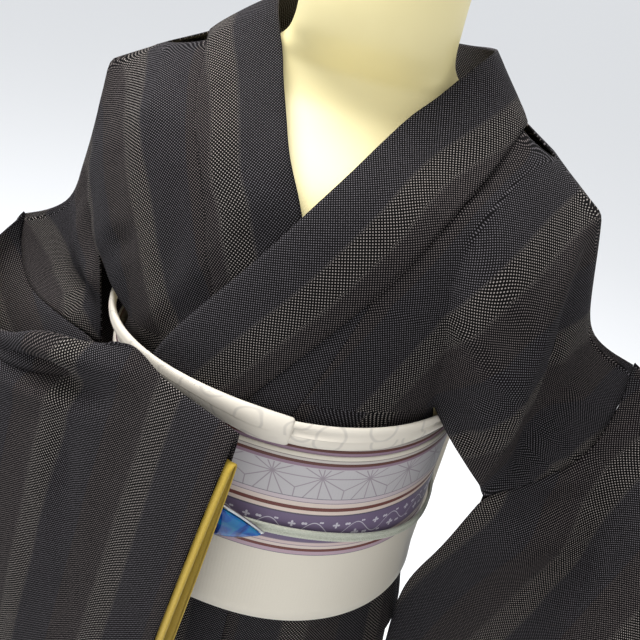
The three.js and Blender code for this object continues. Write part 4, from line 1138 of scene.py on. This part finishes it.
def body_piece(name):
    grids = panel_grids(name)
    back_shift = back_neck(np.linspace(0, 1, CHEST_ROWS)[::-1, None]) - SHOULDER_NECK_X
    across = [stripe_place(grids[0], BODY_SHIFT), stripe_place(grids[1], BODY_SHIFT),
              stripe_place(grids[2], BODY_SHIFT, False) + back_shift,
              stripe_place(grids[3], BODY_SHIFT, False) + CENTRE_GAP - SHOULDER_NECK_X]
    sizes, start = [], 0
    for grid, u in zip(grids, across):
        v = square_to(grid, u)
        v += start - v[0, :CHEST_COLUMNS].mean()
        start = v[-1, :CHEST_COLUMNS].mean()
        sizes.append(np.stack([u, v], -1))
    upper = relax(np.concatenate([grids[1], grids[2][1:]]), np.concatenate([sizes[1], sizes[2][1:]]))
    sizes[1] = upper[:CHEST_ROWS]
    sizes[2] = upper[CHEST_ROWS - 1:]
    mesh = build_mesh(f"{name}_cloth", grids, sizes, flip=name == "right",
                      creases=CREASES[f"{name}_body"], rolled=0.3)
    return place(f"{name}_body_cloth", mesh, wool, [f"{name}_body"], CLOTH)


def lap_piece(name):
    grid = lap_grid(name)
    mesh = build_mesh(f"{name}_lap", [grid], [weave(grid, 4)], flip=name == "right", rolled=0.2)
    return place(f"{name}_front_lap_cloth", mesh, wool, [f"{name}_front_lap"], CLOTH)


def collar_piece():
    grid = collar_grid()
    sizes = weave(grid[:, ::-1], 0, slanted=False)[:, ::-1]
    mesh = build_mesh("collar_strip", [grid], [sizes], flip=True, rolled=0.4)
    return place("collar_cloth", mesh, wool, ["collar"], COLLAR_CLOTH)


def sleeve_piece(name):
    sign = SIDES[name]["sign"]
    front = sleeve_layer(name, True)
    back = sleeve_layer(name, False)[:, ::-1]
    grid = np.concatenate([front, back[:, 1:]], 1)
    across = arc(grid[::-1], 0)[::-1]
    u = across + SLEEVE_SHIFT
    sizes = relax(grid, np.stack([u, arc(grid, 1)], -1))
    mesh = build_mesh(f"{name}_sleeve_cloth", [grid], [sizes], flip=sign < 0,
                      creases=CREASES[f"{name}_sleeve"], rolled=0.3)
    return place(f"{name}_sleeve_cloth", mesh, wool, [f"{name}_sleeve"], CLOTH)


def cuff_piece(name):
    grid = cuff_grid(name)
    mesh = build_mesh(f"{name}_cuff", [grid], [weave(grid, slanted=False)],
                      flip=SIDES[name]["sign"] > 0, rolled=0.2)
    return place(f"{name}_cuff_lining_cloth", mesh, lining, [f"{name}_cuff_lining"], 1.4)


def ring_sizes(grid, shift=0.0):
    """Layout of a ring: u round it from the front's middle, v as the height."""
    around = arc(grid, 1)
    middle = around[:, RING_COLUMNS // 2:RING_COLUMNS // 2 + 1]
    up = grid[..., 2] - SASH_BOTTOM_Z
    return np.stack([around - middle + shift, up], -1)


def sash_pieces():
    outer = ring_grid(SASH_PROFILE)
    inner = ring_grid(INNER_TURN)
    band = build_mesh("sash_wrap", [outer], [ring_sizes(outer)], creases=CREASES["sash_band"], rolled=0.3)
    turn = build_mesh("sash_inner_turn", [inner], [ring_sizes(inner, 9) + [0, INNER_SHIFT]], rolled=0.2)
    first = place("sash_cloth", band, brocade, ["sash_band"], 1.8)
    second = place("sash_inner_cloth", turn, brocade, ["sash_band"], 1.6)
    return first, second


def drum_piece():
    grid = drum_grid()
    across = grid[..., 0]
    sizes = np.stack([arc(grid, 1), (1 - np.abs(across) / DRUM_HALF) * SASH_HEIGHT], -1)
    mesh = build_mesh("drum_knot", [grid], [sizes], flip=True, rolled=0.3)
    return place("sash_drum_knot_cloth", mesh, brocade, ["sash_drum_knot"], 2.4)


def tail_piece():
    grid = strip_grid(TAIL, TAIL_HALF, 30)
    sizes = np.stack([arc(grid, 0), (1 - np.abs(grid[..., 0]) / DRUM_HALF) * SASH_HEIGHT], -1)
    mesh = build_mesh("sash_tail_strip", [grid], [sizes], flip=True, rolled=0.3)
    return place("sash_tail_cloth", mesh, brocade, ["sash_tail"], 2.4)


def scarf_roll(table, groove):
    """One end of the scarf as a closed roll round the body, with a soft groove between its folds."""
    first, final = table.rows[0, 0], table.rows[-1, 0]
    inner = np.linspace(first, final, 220)
    angles = np.unique(np.concatenate([inner, table.rows[:, 0]]))[:, None]
    turns = np.linspace(0, 2 * math.pi, 33)[None, :]
    z, high, deep = table(angles, "z high deep")
    rise = np.sin(turns)
    bulge = np.cos(turns)
    dent = groove(angles) * np.exp(-((rise - 0.22 - 0.1 * np.sin(3 * angles)) / 0.24)**2) * (bulge > 0)
    flow = 0.35 * np.sin(2.2 * turns + 4 * angles) + 0.25 * np.sin(7 * angles + turns)
    out = SCARF_OUT + deep * bulge * (1 - dent) + flow * (bulge > 0) * bulge
    return ring_point(angles + 0 * turns, z + high * rise, out)


def scarf_piece():
    """The scarf round the sash's top: a narrow roll that widens to a wrap, and its other end in two folds."""
    left = scarf_roll(SCARF_LEFT, lambda a: 0.25 * soft(a, -0.4, -1.2))
    right = scarf_roll(SCARF_RIGHT, lambda a: 0.15 + 0.75 * soft(a, 0.62, 0.34) + 0.7 * soft(a, 0.85, 1.1))
    sizes = [np.stack([arc(g, 1), arc(g, 0)], -1) for g in (left, right)]
    mesh = build_mesh("scarf_roll", [left, right], sizes)
    return place("sash_scarf_cloth", mesh, satin, ["sash_scarf"], 0)


BRAID_STRANDS = 14
BRAID_PITCH = 16
CORD_ROUND = 900        # length of the cord round the sash


def cord_piece():
    """A flat braid: strands that cross over and under each other round the ring."""
    coords, faces = [], []
    steps = 900
    sides = 6
    for k in range(BRAID_STRANDS):
        a = np.linspace(0, 2 * math.pi, steps, endpoint=False)
        length = a / (2 * math.pi) * CORD_ROUND
        waves = round(CORD_ROUND / BRAID_PITCH)
        phase = 2 * math.pi * (waves * a / (2 * math.pi) + k / BRAID_STRANDS)
        rise = 3.3 * np.sin(phase)
        over = 0.8 * np.sin(2 * phase + (math.pi if k % 2 else 0))
        z = CORD_Z - CORD_DROP * np.sin(a)**4 + rise
        out = CORD_OUT + over
        centre = ring_point(a, z, out)
        ahead = unit(np.roll(centre, -1, 0) - np.roll(centre, 1, 0))
        face = unit(ring_point(a, z, out + 1) - centre)
        beside = unit(np.cross(ahead, face))
        ring = np.linspace(0, 2 * math.pi, sides, endpoint=False)
        tube = (centre[:, None] + 0.75 * beside[:, None] * np.cos(ring)[None, :, None]
                + 0.7 * face[:, None] * np.sin(ring)[None, :, None])
        first = sum(len(c) for c in coords)
        index = first + np.arange(steps * sides).reshape(steps, sides)
        right = np.roll(index, -1, 0)
        up = np.roll(index, -1, 1)
        both = np.roll(right, -1, 1)
        faces.append(np.stack([index, right, both, up], -1).reshape(-1, 4))
        coords.append(tube.reshape(-1, 3))
    mesh = bpy.data.meshes.new("sash_cord_strands")
    mesh.from_pydata((np.concatenate(coords) * MM).tolist(), [], np.concatenate(faces).tolist())
    for polygon in mesh.polygons:
        polygon.use_smooth = True
    return place("sash_cord_braid", mesh, braid, ["sash_cord"], 0, 0)


def clasp_outline(count, grow):
    a = np.linspace(0, 2 * math.pi, count, endpoint=False)
    reach = np.cos(a)
    rise = np.sign(np.sin(a)) * (1 - np.abs(reach)**1.7)
    return reach * (CLASP["half"] + grow), rise * (CLASP["high"] + grow)


def clasp_shape(name, profile, material):
    """A clasp part lofted over its outline: rows of (size share, growth, out)."""
    count = 96
    coords, faces = [], []
    for share, grow, out in profile:
        x, z = clasp_outline(count, grow)
        coords.append(on_body(CLASP["x"] + x * share, CLASP["z"] + z * share, -1, out))
    for row in range(len(profile) - 1):
        for k in range(count):
            n = (k + 1) % count
            faces.append([row * count + k, row * count + n, (row + 1) * count + n, (row + 1) * count + k])
    faces.append(list(range(count))[::-1])
    faces.append([(len(profile) - 1) * count + k for k in range(count)])
    mesh = bpy.data.meshes.new(f"{name}_shape")
    mesh.from_pydata((np.concatenate(coords) * MM).tolist(), [], faces)
    work = bmesh.new()
    work.from_mesh(mesh)
    bmesh.ops.recalc_face_normals(work, faces=work.faces)
    work.to_mesh(mesh)
    work.free()
    for polygon in mesh.polygons:
        polygon.use_smooth = len(polygon.vertices) == 4
    return place(f"{name}_polished", mesh, material, [name], 0, 0)


def form_piece():
    grid = form_grid()
    low = mix(grid[:1], grid[:1].mean(1, keepdims=True), np.array([0.999, 0.85])[:, None, None])
    high = mix(grid[-1:], grid[-1:].mean(1, keepdims=True), np.array([0.1, 0.85])[:, None, None])
    grid = np.concatenate([low[::-1], grid, high])
    sizes = np.stack([arc(grid, 1), arc(grid, 0)], -1)
    mesh = build_mesh("form_shell", [grid], [sizes])
    return place("form_shell", mesh, shell, ["form_torso"], 0, 1)


def lathe_piece(name, profile, material, nodes):
    """A round piece turned from a profile of radius and height."""
    count = 96
    angle = np.linspace(0, 2 * math.pi, count + 1)[None, :]
    rows = np.array(profile, float)
    grid = join_axes(rows[:, :1] * np.cos(angle), rows[:, :1] * np.sin(angle), rows[:, 1:] + 0 * angle)
    sizes = np.stack([arc(grid, 1), arc(grid, 0)], -1)
    mesh = build_mesh(f"{name}_turned", [grid], [sizes])
    return place(f"{name}_turned", mesh, material, nodes, 0, 0)


for side in SIDES:
    body_piece(side)
    lap_piece(side)
    sleeve_piece(side)
    cuff_piece(side)
collar_piece()
sash_pieces()
drum_piece()
tail_piece()
scarf_piece()
cord_piece()
clasp_shape("clasp_rim", [(1, 1.4, 15.2), (1, 2.0, 15.8), (1, 2.0, 17.2), (1, 1.4, 17.8), (1, 0.2, 17.9)],
            silver)
clasp_shape("clasp_stone", [(1, -0.3, 18.1), (1, 0, 19.6), (0.985, 0, 20.6), (0.94, 0, 21.8), (0.84, 0, 23),
                            (0.68, 0, 23.9), (0.48, 0, 24.3), (0.25, 0, 24.5), (0.08, 0, 24.5)],
            glass)
form_piece()
cap_rows = np.array([up for up, _ in CAP_LEVELS])[:, None] + 1442
cap_grow = np.array([grow for _, grow in CAP_LEVELS])[:, None]
cap_grid = form_ring(cap_rows, 57, 55, 55, -3, cap_grow)
cap_mesh = build_mesh("neck_cap", [cap_grid], [np.stack([arc(cap_grid, 1), arc(cap_grid, 0)], -1)])
place("form_neck_cap_turned", cap_mesh, paint, ["form_neck_cap"], 0, 0)
lathe_piece("stand_pole", [(0.5, 16.3), (15, 16.3), (15, 639.7), (0.5, 639.7)], paint, ["stand_pole"])
lathe_piece("stand_base", [(0.5, 0), (170, 0), (171.4, 0.9), (172, 3), (172, 7), (170.5, 9.3), (164, 11),
                           (100, 13.9), (40, 16), (0.5, 16)], paint, ["stand_base"])

# Floor, light and camera
FLOOR_REACH = 40.0              # metres from the middle to each side
floor = bpy.data.meshes.new("floor")
corners = [(x * FLOOR_REACH, y * FLOOR_REACH, 0) for x, y in ((-1, -1), (1, -1), (1, 1), (-1, 1))]
floor.from_pydata(corners, [], [(0, 1, 2, 3)])
floor_material, floor_tree, floor_shader = finish_of("pale_matte_floor", 0.9)
floor_shader.inputs["Base Color"].default_value = linear("#f3f4f6")
floor.materials.append(floor_material)
floor_object = bpy.data.objects.new("floor", floor)
bpy.context.scene.collection.objects.link(floor_object)


def lamp(name, place_at, aim, size, power, colour="#ffffff"):
    data = bpy.data.lights.new(name, "AREA")
    data.shape = "DISK"
    data.size = size
    data.energy = power
    data.color = linear(colour)[:3]
    light = bpy.data.objects.new(name, data)
    bpy.context.scene.collection.objects.link(light)
    light.location = place_at
    direction = np.array(aim) - np.array(place_at)
    yaw = math.atan2(direction[1], direction[0]) - math.pi / 2
    tilt = math.atan2(math.hypot(direction[0], direction[1]), -direction[2])
    light.rotation_euler = (tilt, 0, yaw)
    return light


lamp("key", (-0.8, -0.15, 3.1), (0, 0, 1.1), 1.6, 78)
lamp("fill", (-1.6, -1.9, 1.9), (0, 0, 1.1), 1.8, 7)
lamp("back", (0.5, 1.9, 2.6), (0, 0, 1.1), 1.8, 14)

world = bpy.data.worlds.new("studio")
world.use_nodes = True
world.node_tree.nodes["Background"].inputs["Color"].default_value = linear("#f4f6f8")
world.node_tree.nodes["Background"].inputs["Strength"].default_value = 0.88
bpy.context.scene.world = world
bpy.context.scene.view_settings.view_transform = "Standard"

CAMERA_AT = (0.1360, -0.6026, 1.4579)
CAMERA_YAW = 11.1
CAMERA_PITCH = 27.22
CAMERA_ROLL = 14.23
PHOTO_WIDTH = 640               # pixels
SENSOR_WIDTH = 36               # millimetres
CAMERA_LENS = 858.7 / PHOTO_WIDTH * SENSOR_WIDTH

yaw, pitch, roll = (math.radians(a) for a in (CAMERA_YAW, CAMERA_PITCH, CAMERA_ROLL))
forward = np.array([-math.sin(yaw) * math.cos(pitch), math.cos(yaw) * math.cos(pitch), -math.sin(pitch)])
level_right = np.array([math.cos(yaw), math.sin(yaw), 0])
level_up = np.cross(level_right, forward)
right = level_right * math.cos(roll) + level_up * math.sin(roll)
up = -level_right * math.sin(roll) + level_up * math.cos(roll)
camera_data = bpy.data.cameras.new("photo_view")
camera_data.lens = CAMERA_LENS
camera_data.sensor_width = SENSOR_WIDTH
camera_data.clip_start = 0.01
camera = bpy.data.objects.new("photo_view", camera_data)
bpy.context.scene.collection.objects.link(camera)
matrix = np.eye(4)
matrix[:3, 0] = right
matrix[:3, 1] = up
matrix[:3, 2] = -forward
matrix[:3, 3] = CAMERA_AT
camera.matrix_world = matrix.T.tolist()
bpy.context.scene.camera = camera

bpy.context.view_layer.update()
